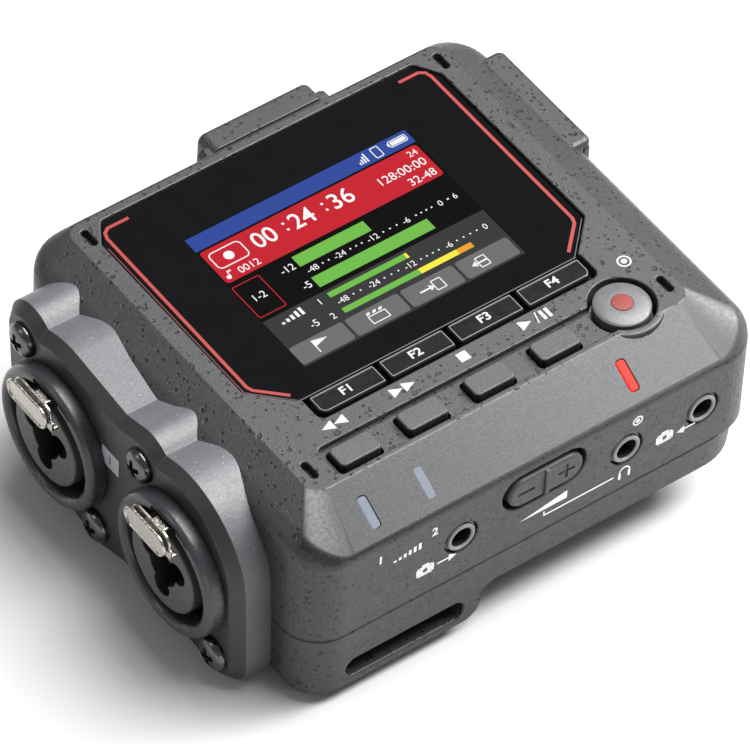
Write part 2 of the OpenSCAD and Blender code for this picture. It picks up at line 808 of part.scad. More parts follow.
module tripod_insert() {
    color(brass) difference() {
        rod_z(bulge_z, bulge_z + tripod_len, tripod_at[0], tripod_at[1], insert_r);
        rod_z(bulge_z - 1, bulge_z + tripod_len - 0.8, tripod_at[0], tripod_at[1], tripod_r);
        rod_z(bulge_z - 1, bulge_z + 0.4, tripod_at[0], tripod_at[1], tripod_r + 0.5);
    }
}

module feet() {
    color([0.08, 0.08, 0.08]) {
        for (p = foot_at) rod_z(0, bulge_z + foot_depth, p[0], p[1], foot_r);
        slab(rail_x0, rail_x1, rail_y0, rail_y1, 0, rail_pad, 1.9);
    }
}

module case_screws() {
    color("dimgray") for (i = [0:len(screw_at) - 1]) {
        x = screw_at[i][0];
        y = screw_at[i][1];
        z = screw_floor[i];
        difference() {
            union() {
                rod_z(z + 0.4, z + 1.6, x, y, 2);
                rod_z(z + 1.5, screw_top_z, x, y, 0.9);
            }
            block(x - 1.2, x + 1.2, y - 0.25, y + 0.25, z, z + 1.1);
            block(x - 0.25, x + 0.25, y - 1.2, y + 1.2, z, z + 1.1);
        }
    }
}

// ---- right side -----------------------------------------------------------------------------

module power_knob() {
    y = knob_at[0];
    z = knob_at[1];
    inner = right_x - wall;
    color(plastic_dark) {
        slab_x(right_x + 0.2, right_x + 1.4, y - 3, y + 3, z - 1.9, z + 1.9);
        block(inner - 0.5, right_x + 0.3, y - 2.4, y + 2.4, z - 1.2, z + 1.2);
        block(inner - 0.9, inner - 0.3, y - 3.4, y + 3.4, z - 2.2, z + 2.2);
        for (i = [-1:1])
            block(right_x + 1.3, right_x + 1.6, y + i * 1.5 - 0.3, y + i * 1.5 + 0.3, z - 1.5, z + 1.5);
    }
}

module slab_x(x0, x1, y0, y1, z0, z1) {
    along_x(x0, x1) rounded_rect(y0, y1, z0, z1, 0.8);
}

module power_switch() {
    y = knob_at[0];
    color("silver") block(right_x - wall - 5.7, right_x - wall - 1.1, y - 5.5, y + 5.5,
                          knob_at[1] - 2.4, board_z);
}

module usb_port() {
    y = usb_at[0];
    z = usb_at[1];
    color(nickel) difference() {
        slab_x(right_x - 7.6, right_x - 0.2, y - 4.5, y + 4.5, z - 1.6, z + 1.6);
        slab_x(right_x - 7, right_x + 1, y - 4.2, y + 4.2, z - 1.3, z + 1.3);
    }
    color(nickel) block(right_x - 7.4, right_x - 2, y - 3.2, y + 3.2, z - 0.35, z + 0.35);
    color(nickel) block(right_x - 7.4, right_x - 3, y - 4.5, y + 4.5, z + 1.5, board_z);
}

module card_slot() {
    y = card_at[0];
    color("silver") difference() {
        block(right_x - 16, right_x - 2, y - 7, y + 7, board_top, board_top + 1.9);
        block(right_x - 15.5, right_x - 1, y - 5.8, y + 5.8, board_top + 0.3, board_top + 1.4);
    }
}

module card_door() {
    bevel = 1.2;
    color(plastic) {
        translate([0, 0, flap_z0 + 1.7]) linear_extrude(flap_z1 - flap_z0 - 1.7)
            polygon([[right_x + 0.3, flap_y0], [right_x + 0.9, flap_y0],
                     [card_door_x, flap_y0 + 2.4], [card_door_x, flap_y1 - 2.4],
                     [right_x + 0.9, flap_y1], [right_x + 0.3, flap_y1]]);
        rod_y(flap_y0, flap_y1, flap_pin_x, flap_pin_z, 0.6);
        block(flap_pin_x - 0.4, flap_pin_x + 0.4, flap_y0 + bevel, flap_y1 - bevel,
              flap_pin_z, flap_z0 + 1.8);
        rod_y(flap_y0 - 1.3, flap_y1 + 1.3, flap_pin_x, flap_pin_z, pin_r);
    }
}

// ---- back ------------------------------------------------------------------------------------

module video_port(i) {
    x = video_x[i];
    color(nickel) {
        difference() {
            along_y(back_y - 5.4, back_y - 0.2)
                rounded_rect(x - 3.5, x + 3.5, video_z - 1.6, video_z + 1.6, 0.5);
            along_y(back_y - 4.8, back_y + 1)
                rounded_rect(x - 3.2, x + 3.2, video_z - 1.3, video_z + 1.3, 0.4);
        }
        block(x - 2.4, x + 2.4, back_y - 5, back_y - 1.6, video_z - 0.3, video_z + 0.3);
        block(x - 3.4, x + 3.4, back_y - 5.2, back_y - 3, video_z + 1.5, board_z);
    }
}

// Pull-off cap over the link connector, with a stepped edge
module link_cover() {
    color(plastic) {
        slab(link_x0, link_x1, back_y + 0.3, back_y + 3, link_z0, link_z1 - 0.6, 1.2);
        slab(link_x0 + 1.6, link_x1 - 1.6, back_y + 1, link_back_y, link_z0 + 1, link_z1, 2);
    }
}

module link_connector() {
    color("ivory") block(link_x0 + 7, link_x1 - 5, back_y - 6.2, back_y - 0.4,
                         board_top, board_top + 3.8);
}

module place() {
    translate([shift_x, shift_y, 0]) children();
}

place() top_casing();
place() bottom_casing();
place() input_panel();
place() display_cover();
place() screen_gasket();
place() screen_module();
place() screen_ribbon();
place() soft_key(0);  // soft_key_1
place() soft_key(1);  // soft_key_2
place() soft_key(2);  // soft_key_3
place() soft_key(3);  // soft_key_4
place() transport_key(0);  // rewind_key
place() transport_key(1);  // forward_key
place() transport_key(2);  // stop_key
place() transport_key(3);  // play_key
place() record_key();
place() record_dot();
place() light_pipe(0, "lightsteelblue");  // peak_light_1
place() light_pipe(1, "lightsteelblue");  // peak_light_2
place() light_pipe(2, "red");  // record_light
place() indicator_leds();
place() volume_rocker();
place() rocker_switches();
place() small_jack(0);  // ext_in_jack
place() small_jack(1);  // phones_jack
place() small_jack(2);  // line_out_jack
place() socket_shell(0);  // socket_shell_1
place() socket_shell(1);  // socket_shell_2
place() socket_insert(0);  // socket_insert_1
place() socket_insert(1);  // socket_insert_2
place() socket_contacts();
place() latch(0);  // latch_1
place() latch(1);  // latch_2
place() input_screws();
place() input_board();
place() board_link();
place() main_board();
place() key_switches();
place() battery_tray();
place() batteries();
place() battery_springs();
place() battery_plates();
place() battery_door();
place() tripod_insert();
place() feet();
place() case_screws();
place() power_knob();
place() power_switch();
place() usb_port();
place() card_slot();
place() card_door();
place() video_port(0);  // video_in_port
place() video_port(1);  // video_out_port
place() link_cover();
place() link_connector();
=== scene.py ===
"""Looks of the portable field recorder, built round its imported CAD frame.

Shapes are drawn in working millimetres: X to the reader's right, Y towards the top of the
screen, Z up, with the middle of the screen at X = 0, Y = 0 and the feet on Z = 0.
"""
import math
from contextlib import contextmanager

import bmesh
import bpy
from mathutils import Matrix, Vector


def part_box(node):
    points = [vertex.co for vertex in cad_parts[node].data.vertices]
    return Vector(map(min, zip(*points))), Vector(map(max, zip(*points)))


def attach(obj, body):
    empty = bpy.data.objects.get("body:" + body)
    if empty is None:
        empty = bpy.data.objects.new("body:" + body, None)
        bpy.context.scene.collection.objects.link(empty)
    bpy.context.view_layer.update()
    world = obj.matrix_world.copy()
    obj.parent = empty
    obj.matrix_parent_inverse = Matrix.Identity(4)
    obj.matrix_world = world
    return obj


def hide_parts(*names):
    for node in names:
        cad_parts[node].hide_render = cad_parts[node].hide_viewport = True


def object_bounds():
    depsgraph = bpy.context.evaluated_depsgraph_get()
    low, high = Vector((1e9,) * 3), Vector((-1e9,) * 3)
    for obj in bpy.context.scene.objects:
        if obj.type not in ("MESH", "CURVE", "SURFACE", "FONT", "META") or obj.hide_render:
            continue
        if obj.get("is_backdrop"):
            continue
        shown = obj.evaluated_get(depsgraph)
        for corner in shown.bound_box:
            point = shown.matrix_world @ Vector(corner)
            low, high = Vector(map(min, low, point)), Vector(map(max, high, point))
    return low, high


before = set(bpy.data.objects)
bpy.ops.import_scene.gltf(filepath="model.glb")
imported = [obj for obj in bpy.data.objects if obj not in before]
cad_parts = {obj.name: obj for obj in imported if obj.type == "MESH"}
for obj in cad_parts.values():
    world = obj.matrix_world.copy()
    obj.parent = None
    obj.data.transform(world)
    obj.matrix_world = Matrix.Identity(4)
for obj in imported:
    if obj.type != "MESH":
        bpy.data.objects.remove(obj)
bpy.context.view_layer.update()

MM = 0.001
HOME = "recorder"

# The display cover's corner fixes the working axes in the row's frame.
LENS_MID_X, LENS_BACK_Y, LENS_TOP_Z = 0.4, 25.4, 35.6
cover_low, cover_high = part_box("display_cover")
ORIGIN = Vector(((cover_low.x + cover_high.x) / 2 - LENS_MID_X * MM, cover_high.y - LENS_BACK_Y * MM,
    cover_high.z - LENS_TOP_Z * MM))
TO_ROW = Matrix.Translation(ORIGIN) @ Matrix.Diagonal((MM, MM, MM, 1))


def span(node):
    """Lowest and highest corner of a CAD node, in working millimetres."""
    low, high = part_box(node)
    return (low - ORIGIN) / MM, (high - ORIGIN) / MM


# Main sizes, in millimetres
TOP_Z = 36.0
SEAM_Z = 13.9
LEFT_X, RIGHT_X = -41.5, 42.5
FRONT_Y, BACK_Y = -46.0, 29.0
WALL = 1.8
RIM = {"left": 7.2, "front": 9.5, "right": 7.2, "back": 1.8}
SLOPE = math.atan2(5.7, 9.5)
PANEL_X, PANEL_CHAMFER = -47.8, 1.7
SOCKET_Z = 17.0
SOCKET_Y = (7.9, -22.2)
LUG_Y, LUG_Z = 9.8, 11.7
LUG_AT = [(y + s * LUG_Y, SOCKET_Z + s * LUG_Z) for y in SOCKET_Y for s in (-1, 1)]

# --- outlines and solids


def TOP(u, v, w):
    return (u, v, w)


def FRONT(u, v, w):
    return (u, w, v)


def SIDE(u, v, w):
    return (w, u, v)


def outline(circles, grow=0.0, step=7.5):
    """Closed outline round a chain of circles (x, y, r), counter-clockwise.

    A positive radius bulges out and a negative one hollows in; grow moves the outline out.
    """
    count = len(circles)
    normals = []
    for i in range(count):
        x1, y1, r1 = circles[i]
        x2, y2, r2 = circles[(i + 1) % count]
        dx, dy = x2 - x1, y2 - y1
        gap = math.hypot(dx, dy)
        along = (r1 - r2) / gap
        across = math.sqrt(max(0.0, 1 - along * along))
        normals.append(((along * dx + across * dy) / gap, (along * dy - across * dx) / gap))
    points = []
    for i, (x, y, r) in enumerate(circles):
        a0 = math.atan2(normals[i - 1][1], normals[i - 1][0])
        a1 = math.atan2(normals[i][1], normals[i][0])
        turn = (a1 - a0) % math.tau if r >= 0 else -((a0 - a1) % math.tau)
        if abs(turn) > math.tau - 1e-6:
            turn = 0.0
        steps = max(1, math.ceil(abs(turn) / math.radians(step) - 1e-6))
        for k in range(steps + 1):
            a = a0 + turn * k / steps
            points.append((x + (r + grow) * math.cos(a), y + (r + grow) * math.sin(a)))
    return points


def rounded_rect(x0, x1, y0, y1, r):
    return [(x0 + r, y0 + r, r), (x1 - r, y0 + r, r), (x1 - r, y1 - r, r), (x0 + r, y1 - r, r)]


def disc(x, y, r):
    """A full circle, as a chain of two circles that all but coincide."""
    return [(x, y, r), (x + 0.01, y, r)]


def corners(points, radius):
    """A polygon's corners as circles of one radius; the polygon is convex and counter-clockwise."""
    out = []
    for i, q in enumerate(points):
        p, s = points[i - 1], points[(i + 1) % len(points)]
        a = (Vector(p) - Vector(q)).normalized()
        b = (Vector(s) - Vector(q)).normalized()
        centre = Vector(q) + (a + b).normalized() * radius / math.sin(a.angle(b) / 2)
        out.append((centre.x, centre.y, radius))
    return out


def nestle(a, b, r):
    """The hollow circle of radius r that touches circles a and b, on the right of a-b."""
    ra, rb = a[2] + r + 0.05, b[2] + r + 0.05
    dx, dy = b[0] - a[0], b[1] - a[1]
    gap = math.hypot(dx, dy)
    along = (ra * ra - rb * rb + gap * gap) / (2 * gap)
    across = math.sqrt(max(0.0, ra * ra - along * along))
    return (a[0] + (along * dx + across * dy) / gap, a[1] + (along * dy - across * dx) / gap, -r)


def rounded(w0, w1, r0=0.0, r1=0.0, steps=4, base=0.0):
    """Stations (grow, w) from w0 to w1 with rounded edges of radius r0 and r1."""
    sign = 1 if w1 > w0 else -1
    out = []
    for k in range(steps + 1 if r0 else 1):
        a = math.pi / 2 * k / steps
        out.append((base - r0 + r0 * math.sin(a), w0 + sign * (r0 - r0 * math.cos(a))))
    for k in range(steps + 1 if r1 else 1):
        a = math.pi / 2 * k / steps
        out.append((base - r1 + r1 * math.cos(a), w1 - sign * (r1 - r1 * math.sin(a))))
    return out


def flare(floor, top, r, steps=4, foot=0.0):
    """Stations of a cutter that leaves an edge of radius r where it meets the surface at top."""
    sign = 1 if top > floor else -1
    out = [(-foot, floor), (0, floor + sign * foot)] if foot else [(0, floor)]
    for k in range(steps + 1):
        a = math.pi / 2 * k / steps
        out.append((r - r * math.cos(a), top - sign * (r - r * math.sin(a))))
    out.append((r, top + sign * 3))
    return out


def bridge(bm, a, b):
    for i in range(len(a)):
        j = (i + 1) % len(a)
        bm.faces.new((a[i], a[j], b[j], b[i]))


def solid(bm, circles, stations, plane=TOP, turn=None, step=7.5):
    """Stacks one outline at its stations and closes both ends."""
    rings = []
    for grow, w in stations:
        ring = [Vector(plane(u, v, w)) for u, v in outline(circles, grow, step)]
        if turn is not None:
            ring = [turn @ p for p in ring]
        rings.append([bm.verts.new(p) for p in ring])
    for a, b in zip(rings, rings[1:]):
        bridge(bm, a, b)
    bm.faces.new(rings[0][::-1])
    bm.faces.new(rings[-1])


def lathe(bm, profile, place, steps=64, start=0.0, sweep=math.tau):
    """Turns (radius, height) points round local Z; place puts the result in working axes."""
    full = abs(sweep - math.tau) < 1e-6
    columns = []
    for k in range(steps if full else steps + 1):
        a = start + sweep * k / steps
        columns.append([bm.verts.new(place @ Vector((r * math.cos(a), r * math.sin(a), h))) for r,
            h in profile])
    pairs = list(zip(columns, columns[1:] + columns[:1])) if full else list(zip(columns, columns[1:]))
    for a, b in pairs:
        for i in range(len(profile) - 1):
            bm.faces.new((a[i], b[i], b[i + 1], a[i + 1]))


def pin(bm, r, length, place, steps=20):
    lathe(bm, [(0, 0), (r, 0), (r, length), (0, length)], place, steps)


def toward_left(x, y, z):
    """Local Z points to the reader's left, out of the input panel."""
    return Matrix.Translation((x, y, z)) @ Matrix.Rotation(-math.pi / 2, 4, "Y")


def toward_front(x, y, z):
    return Matrix.Translation((x, y, z)) @ Matrix.Rotation(math.pi / 2, 4, "X")


def upward(x, y, z):
    return Matrix.Translation((x, y, z))


def box_into(bm, x0, x1, y0, y1, z0, z1, r=0.15):
    solid(bm, rounded_rect(x0, x1, y0, y1, min(r, (x1 - x0) / 3, (y1 - y0) / 3)),
          rounded(z0, z1, r / 2, r / 2, 2))


# --- objects


def to_object(bm, name):
    bmesh.ops.remove_doubles(bm, verts=bm.verts, dist=1e-4)
    bmesh.ops.dissolve_degenerate(bm, edges=bm.edges, dist=1e-5)
    bmesh.ops.recalc_face_normals(bm, faces=bm.faces)
    mesh = bpy.data.meshes.new(name)
    bm.to_mesh(mesh)
    bm.free()
    obj = bpy.data.objects.new(name, mesh)
    bpy.context.scene.collection.objects.link(obj)
    return obj


@contextmanager
def reopened(mesh):
    bm = bmesh.new()
    bm.from_mesh(mesh)
    yield bm
    bm.to_mesh(mesh)
    bm.free()


def carve(obj, *tools, operation="DIFFERENCE"):
    """Applies booleans one after the other and removes the tools."""
    for tool in tools:
        step = obj.modifiers.new("carve", "BOOLEAN")
        step.operation = operation
        step.solver = "EXACT"
        step.object = tool
    bpy.context.view_layer.update()
    graph = bpy.context.evaluated_depsgraph_get()
    mesh = bpy.data.meshes.new_from_object(obj.evaluated_get(graph), depsgraph=graph)
    obj.modifiers.clear()
    old = obj.data
    obj.data = mesh
    bpy.data.meshes.remove(old)
    for tool in tools:
        bpy.data.objects.remove(tool)
    return obj


def shade(obj, crease=32.0):
    """Smooth faces with sharp edges over the crease angle; large flat faces stay flat."""
    flat, lean = 4.0 * MM * MM, math.radians(0.3)
    with reopened(obj.data) as bm:
        for face in bm.faces:
            level = any(len(edge.link_faces) == 2 and edge.calc_face_angle(math.pi) < lean
                        for edge in face.edges)
            face.smooth = not (face.calc_area() > flat and (len(face.verts) > 4 or level))
        for edge in bm.edges:
            edge.smooth = (len(edge.link_faces) == 2
                and edge.calc_face_angle(0) < math.radians(crease))
    weigh = obj.modifiers.new("weigh", "WEIGHTED_NORMAL")
    weigh.keep_sharp = True
    weigh.weight = 100


def adopt(obj, materials, body=HOME, slot="casing_plastic", stands_for=(), crease=32.0):
    """Moves a finished shape into the row's frame, dresses it and lets it ride on its body."""
    obj.data.transform(TO_ROW)
    if not isinstance(materials, (list, tuple)):
        materials = [materials]
    tints = [face.material_index for face in obj.data.polygons]
    obj.data.materials.clear()
    for material in materials:
        obj.data.materials.append(material)
    for face, tint in zip(obj.data.polygons, tints):
        face.material_index = tint if tint < len(materials) else 0
    shade(obj, crease)
    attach(obj, body)
    if stands_for:
        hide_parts(*([stands_for] if isinstance(stands_for, str) else stands_for))
    return obj


def finish_piece(bm, name, materials, **facts):
    return adopt(to_object(bm, name), materials, **facts)


# --- materials


class Look:
    """A principled material with a few short-cuts for its nodes, in millimetre coordinates."""

    def __init__(self, name, colour, rough, metal=0.0, **sockets):
        self.material = bpy.data.materials.new(name)
        self.material.use_nodes = True
        self.tree = self.material.node_tree
        self.shader = self.tree.nodes["Principled BSDF"]
        self.shader.inputs["Base Color"].default_value = (*colour, 1)
        self.shader.inputs["Roughness"].default_value = rough
        self.shader.inputs["Metallic"].default_value = metal
        for key, value in sockets.items():
            self.shader.inputs[key.replace("_", " ")].default_value = value
        place = self.add("TexCoord")
        scale = self.add("VectorMath", operation="SCALE", Scale=1 / MM)
        self.link(place.outputs["Object"], scale.inputs[0])
        self.where = scale.outputs[0]

    def link(self, a, b):
        self.tree.links.new(a, b)

    def add(self, kind, where=None, operation=None, **values):
        """A shader node with its sockets set by name; where feeds its Vector socket."""
        node = self.tree.nodes.new("ShaderNode" + kind)
        if operation:
            node.operation = operation
        for key, value in values.items():
            node.inputs[key.replace("_", " ")].default_value = value
        if where:
            self.link(where, node.inputs["Vector"])
        return node

    def noise(self, scale, detail=2.0, rough=0.5, where=None):
        node = self.add("TexNoise", where or self.where, Scale=scale, Detail=detail, Roughness=rough)
        return node.outputs["Fac"]

    def cells(self, scale, where):
        node = self.add("TexVoronoi", where, Scale=scale)
        return node.outputs["Distance"], node.outputs["Color"]

    def stretched(self, factors):
        node = self.add("VectorMath", operation="MULTIPLY")
        node.inputs[1].default_value = factors
        self.link(self.where, node.inputs[0])
        return node.outputs[0]

    def warped(self, scale, amount):
        """The coordinates pushed about by noise, so that cells lose their straight edges."""
        push = self.add("VectorMath", operation="MULTIPLY_ADD")
        push.inputs[1].default_value = (amount,) * 3
        self.link(self.add("TexNoise", self.where, Scale=scale).outputs["Color"], push.inputs[0])
        self.link(self.where, push.inputs[2])
        return push.outputs[0]

    def math(self, kind, a, b):
        node = self.add("Math", operation=kind)
        for socket, value in zip(node.inputs, (a, b)):
            if isinstance(value, (int, float)):
                socket.default_value = value
            else:
                self.link(value, socket)
        return node.outputs[0]

    def ramp(self, value, low, high, a=0.0, b=1.0):
        node = self.add("MapRange", From_Min=low, From_Max=high, To_Min=a, To_Max=b)
        node.interpolation_type = "SMOOTHSTEP"
        self.link(value, node.inputs["Value"])
        return node.outputs["Result"]

    def mix(self, factor, a, b):
        node = self.add("Mix")
        node.data_type = "RGBA"
        self.link(factor, node.inputs["Factor"])
        for key, value in (("A", a), ("B", b)):
            socket = [s for s in node.inputs if s.name == key and s.type == "RGBA"][0]
            if isinstance(value, tuple):
                socket.default_value = (*value, 1)
            else:
                self.link(value, socket)
        return [s for s in node.outputs if s.type == "RGBA"][0]

    def colour(self, value):
        self.link(value, self.shader.inputs["Base Color"])

    def rough(self, value):
        self.link(value, self.shader.inputs["Roughness"])

    def bump(self, height, depth):
        node = self.add("Bump", Distance=depth * MM, Strength=1.0)
        self.link(height, node.inputs["Height"])
        if self.shader.inputs["Normal"].is_linked:
            self.link(self.shader.inputs["Normal"].links[0].from_socket, node.inputs["Normal"])
        self.link(node.outputs["Normal"], self.shader.inputs["Normal"])


def tinted(colour, factor):
    return tuple(c * factor for c in colour)


def specks(look, scale, size, share, warp=0.35):
    """Mask of scattered irregular spots: one cell in a share of them holds a spot."""
    distance, tint = look.cells(scale, look.warped(2.2, warp))
    split = look.add("SeparateColor")
    look.link(tint, split.inputs[0])
    present = look.ramp(split.outputs[0], 1 - share, 1 - share + 0.02)
    width = look.math("MULTIPLY", look.math("ADD", split.outputs[1], 0.45), size)
    spot = look.math("SUBTRACT", width, distance)
    return look.math("MULTIPLY", look.ramp(spot, 0.0, 0.1), present)


def moulded(name, colour, pits=False, flecks=False, rough=0.5, grain=0.035, painted_light_ramp=False):
    """Moulded plastic with a fine grain, dark pits or pale flecks and slow tone changes; the ramp along X
    paints shade at the left and a sheen at the right.
    """
    look = Look(name, colour, rough)
    tone = look.mix(look.ramp(look.noise(0.25, 2, 0.5), 0.35, 0.65), tinted(colour, 0.93),
        tinted(colour, 1.06))
    fine = look.noise(3.2, 4, 0.65)
    tone = look.mix(look.ramp(fine, 0.3, 0.7, 0, 0.6), tone, tinted(colour, 0.72))
    look.bump(fine, grain)
    if pits:
        large = specks(look, 0.5, 0.2, 0.7, 0.6)
        small = specks(look, 1.1, 0.26, 0.75, 0.3)
        hole = look.math("MAXIMUM", large, small)
        tone = look.mix(look.math("MULTIPLY", hole, 0.95), tone, tinted(colour, 0.06))
        look.bump(look.math("MULTIPLY", hole, -1.0), 0.16)
    # painted light: along X the colour runs from 0.3 times (painted shade) at the left to 1.7 times
    # (painted sheen) at the right
    if painted_light_ramp:
        split = look.add("SeparateXYZ", look.where)
        tone = look.mix(look.ramp(split.outputs[0], -34, 45), tinted(colour, 0.3),
            tinted(colour, 1.7))
    if flecks:
        fleck = specks(look, 1.3, 0.17, 0.35, 0.4)
        tone = look.mix(look.math("MULTIPLY", fleck, 0.6), tone, tinted(colour, 2.6))
    look.colour(tone)
    look.rough(look.ramp(look.noise(1.7, 3), 0.3, 0.7, rough - 0.06, rough + 0.08))
    return look.material


def worn_metal(name, colour, rough, scratch=0.02):
    look = Look(name, colour, rough, 1.0)
    streak = look.noise(1.4, 4, 0.6, look.stretched((1, 6, 6)))
    look.colour(look.mix(look.ramp(streak, 0.3, 0.7), tinted(colour, 0.8), colour))
    look.rough(look.ramp(look.noise(2.5, 3), 0.3, 0.7, rough * 0.7, rough * 1.4))
    look.bump(streak, scratch)
    return look.material


def gloss(name, colour, rough=0.08):
    look = Look(name, colour, rough, Specular_IOR_Level=0.25)
    look.colour(look.mix(look.ramp(look.noise(0.2, 2), 0.3, 0.7), colour, tinted(colour, 1.25)))
    look.rough(look.ramp(look.noise(0.6, 3), 0.35, 0.65, rough * 0.8, rough * 1.3))
    look.bump(look.noise(0.12, 1), 0.01)
    return look.material


def glowing(name, colour, power, rough=0.2):
    """Screen or lamp colour: lit from inside with a faint pixel grid."""
    look = Look(name, tinted(colour, 0.06), rough, Specular_IOR_Level=0.2)
    grid = look.noise(9.0, 1)
    look.link(look.mix(look.ramp(grid, 0.3, 0.7), tinted(colour, 0.93), colour),
              look.shader.inputs["Emission Color"])
    look.shader.inputs["Emission Strength"].default_value = power
    return look.material


def printed(name, colour, power=0.0):
    look = Look(name, colour, 0.55)
    look.colour(look.mix(look.ramp(look.noise(4.0, 3), 0.3, 0.7), tinted(colour, 0.9), colour))
    # a power above zero makes the print glow: painted light that keeps it bright under any lamp
    look.shader.inputs["Emission Color"].default_value = (*colour, 1)
    look.shader.inputs["Emission Strength"].default_value = power
    return look.material


casing_grey = moulded("casing_grey", (0.025, 0.0257, 0.028), pits=True, rough=0.42)
# the slope's colour ramp along X is painted light: darker at the left as painted shade, lighter at the
# right as painted sheen
slope_grey = moulded("slope_grey", (0.026, 0.0265, 0.028), flecks=True, rough=0.42, grain=0.02,
    painted_light_ramp=True)
panel_grey = moulded("panel_grey", (0.018, 0.0185, 0.021), rough=0.42, grain=0.025)
# boss sides: the same plastic as the panel face, painted lighter as a sheen
boss_sheen_grey = moulded("boss_sheen_grey", (0.085, 0.087, 0.093), flecks=True, rough=0.4)
chamfer_grey = moulded("chamfer_grey", (0.018, 0.018, 0.02), rough=0.5)
key_grey = moulded("key_grey", (0.042, 0.042, 0.044), rough=0.5, grain=0.06)
# the upright key sides: a darker copy of the key plastic, painted shade
key_side_shade = moulded("key_side_shade", (0.010, 0.010, 0.011), rough=0.45)
record_grey = moulded("record_grey", (0.10, 0.10, 0.105), rough=0.33, grain=0.03)
cover_black = gloss("cover_black", (0.0018, 0.0018, 0.0022))
soft_key_black = gloss("soft_key_black", (0.008, 0.008, 0.009), 0.14)
# these prints glow a little as painted light; wall_white glows most, to keep the front-wall print bright
red_line = printed("red_line", (0.22, 0.005, 0.003), 0.03)
dark_red_line = printed("dark_red_line", (0.09, 0.005, 0.004), 0.05)
record_red = moulded("record_red", (0.17, 0.010, 0.005), rough=0.45)
legend_white = printed("legend_white", (0.33, 0.335, 0.34), 0.05)
wall_white = printed("wall_white", (0.6, 0.605, 0.61), 0.45)
# a light line for the light that the soft keys' rounded edges catch: painted highlight
edge_highlight_grey = printed("edge_highlight_grey", (0.15, 0.152, 0.145), 0.0)
ring_satin = moulded("ring_satin", (0.035, 0.037, 0.041), rough=0.3, grain=0.012)
insert_grey = moulded("insert_grey", (0.05, 0.052, 0.057), rough=0.42, grain=0.02)
# near-black for painted shade inside bores, openings and gaps, and for the black print of the channel
# figure
shade_and_ink_black = moulded("shade_and_ink_black", (0.006, 0.006, 0.006), rough=0.6)
jack_black = moulded("jack_black", (0.03, 0.03, 0.032), rough=0.3, grain=0.01)
jack_ring = moulded("jack_ring", (0.2, 0.2, 0.205), rough=0.3, grain=0.01)
nickel = worn_metal("nickel", (0.5, 0.47, 0.43), 0.26, 0.003)
screw_dark = worn_metal("screw_dark", (0.13, 0.13, 0.135), 0.24, 0.003)
port_metal = worn_metal("port_metal", (0.5, 0.5, 0.5), 0.3)
brass = worn_metal("brass", (0.7, 0.5, 0.22), 0.3)
lamp_clear = glowing("lamp_clear", (0.30, 0.34, 0.42), 0.9, 0.3)
lamp_red = glowing("lamp_red", (0.95, 0.035, 0.02), 0.95, 0.25)
rubber = moulded("rubber", (0.018, 0.018, 0.018), rough=0.7, grain=0.05)
foam = moulded("foam", (0.05, 0.05, 0.05), rough=0.9, grain=0.08)
film = moulded("film", (0.6, 0.26, 0.04), rough=0.35, grain=0.01)
board_green = moulded("board_green", (0.012, 0.09, 0.045), rough=0.35, grain=0.03)
tray_black = moulded("tray_black", (0.03, 0.03, 0.032), rough=0.5)
cell_blue = moulded("cell_blue", (0.05, 0.16, 0.33), rough=0.3, grain=0.01)
ivory = moulded("ivory", (0.62, 0.58, 0.46), rough=0.45)
label_grey = printed("label_grey", (0.36, 0.38, 0.4), 0.0)

SCREEN = {"black": glowing("screen_black", (0.0035, 0.0035, 0.004), 0.4, 0.12)}
for name, colour in (
        ("blue", (0.032, 0.07, 0.33)), ("red", (0.56, 0.018, 0.03)), ("green", (0.17, 0.5, 0.075)),
        ("yellow", (0.95, 0.83, 0.06)), ("orange", (0.85, 0.36, 0.03)),
        ("dark", (0.042, 0.042, 0.042)), ("grey", (0.16, 0.16, 0.16)),
        ("white", (0.92, 0.93, 0.94))):
    SCREEN[name] = glowing("screen_" + name, colour, 0.9, 0.12)

# --- top casing


def filleted(points, radii, steps):
    """A polyline whose inner corners are rounded, each with the same number of points."""
    points = [Vector(p) for p in points]
    out = [points[0]]
    for p, q, s, r in zip(points, points[1:], points[2:], radii):
        a, b = (p - q).normalized(), (s - q).normalized()
        half = a.angle(b) / 2
        reach = r / math.tan(half)
        centre = q + (a + b).normalized() * (r / math.sin(half))
        u, v = q + a * reach - centre, q + b * reach - centre
        sweep = u.angle(v)
        for k in range(steps + 1):
            t = k / steps
            out.append(centre + (u * math.sin((1 - t) * sweep) + v * math.sin(t * sweep))
                       / math.sin(sweep))
    out.append(points[-1])
    return out


CORNER_STEPS = 12


def casing_rings(bm, profiles, rims, wall_r, rim_r):
    """Rounded rectangles stacked so that every side follows its own (inset, height) profile."""
    rings = []
    for k in range(len(profiles["left"])):
        at = {side: profiles[side][k] for side in profiles}
        ends = [("left", "front", math.pi, 1, 1), ("front", "right", 1.5 * math.pi, -1, 1),
                ("right", "back", 0.0, -1, -1), ("back", "left", 0.5 * math.pi, 1, -1)]
        ring = []
        for a, b, start, sx, sy in ends:
            share = (min(1, at[a][0] / rims[a]) + min(1, at[b][0] / rims[b])) / 2
            r = wall_r + (rim_r - wall_r) * max(0.0, share)
            edge_x = at["left"][0] + LEFT_X if sx > 0 else RIGHT_X - at["right"][0]
            edge_y = at["front"][0] + FRONT_Y if sy > 0 else BACK_Y - at["back"][0]
            for j in range(CORNER_STEPS + 1):
                t = j / CORNER_STEPS
                angle = start + t * math.pi / 2
                blend = t * t * (3 - 2 * t)
                z = at[a][1] * (1 - blend) + at[b][1] * blend
                ring.append(bm.verts.new((edge_x + sx * r + r * math.cos(angle),
                    edge_y + sy * r + r * math.sin(angle), z)))
        rings.append(ring)
    for a, b in zip(rings, rings[1:]):
        bridge(bm, a, b)
    return rings


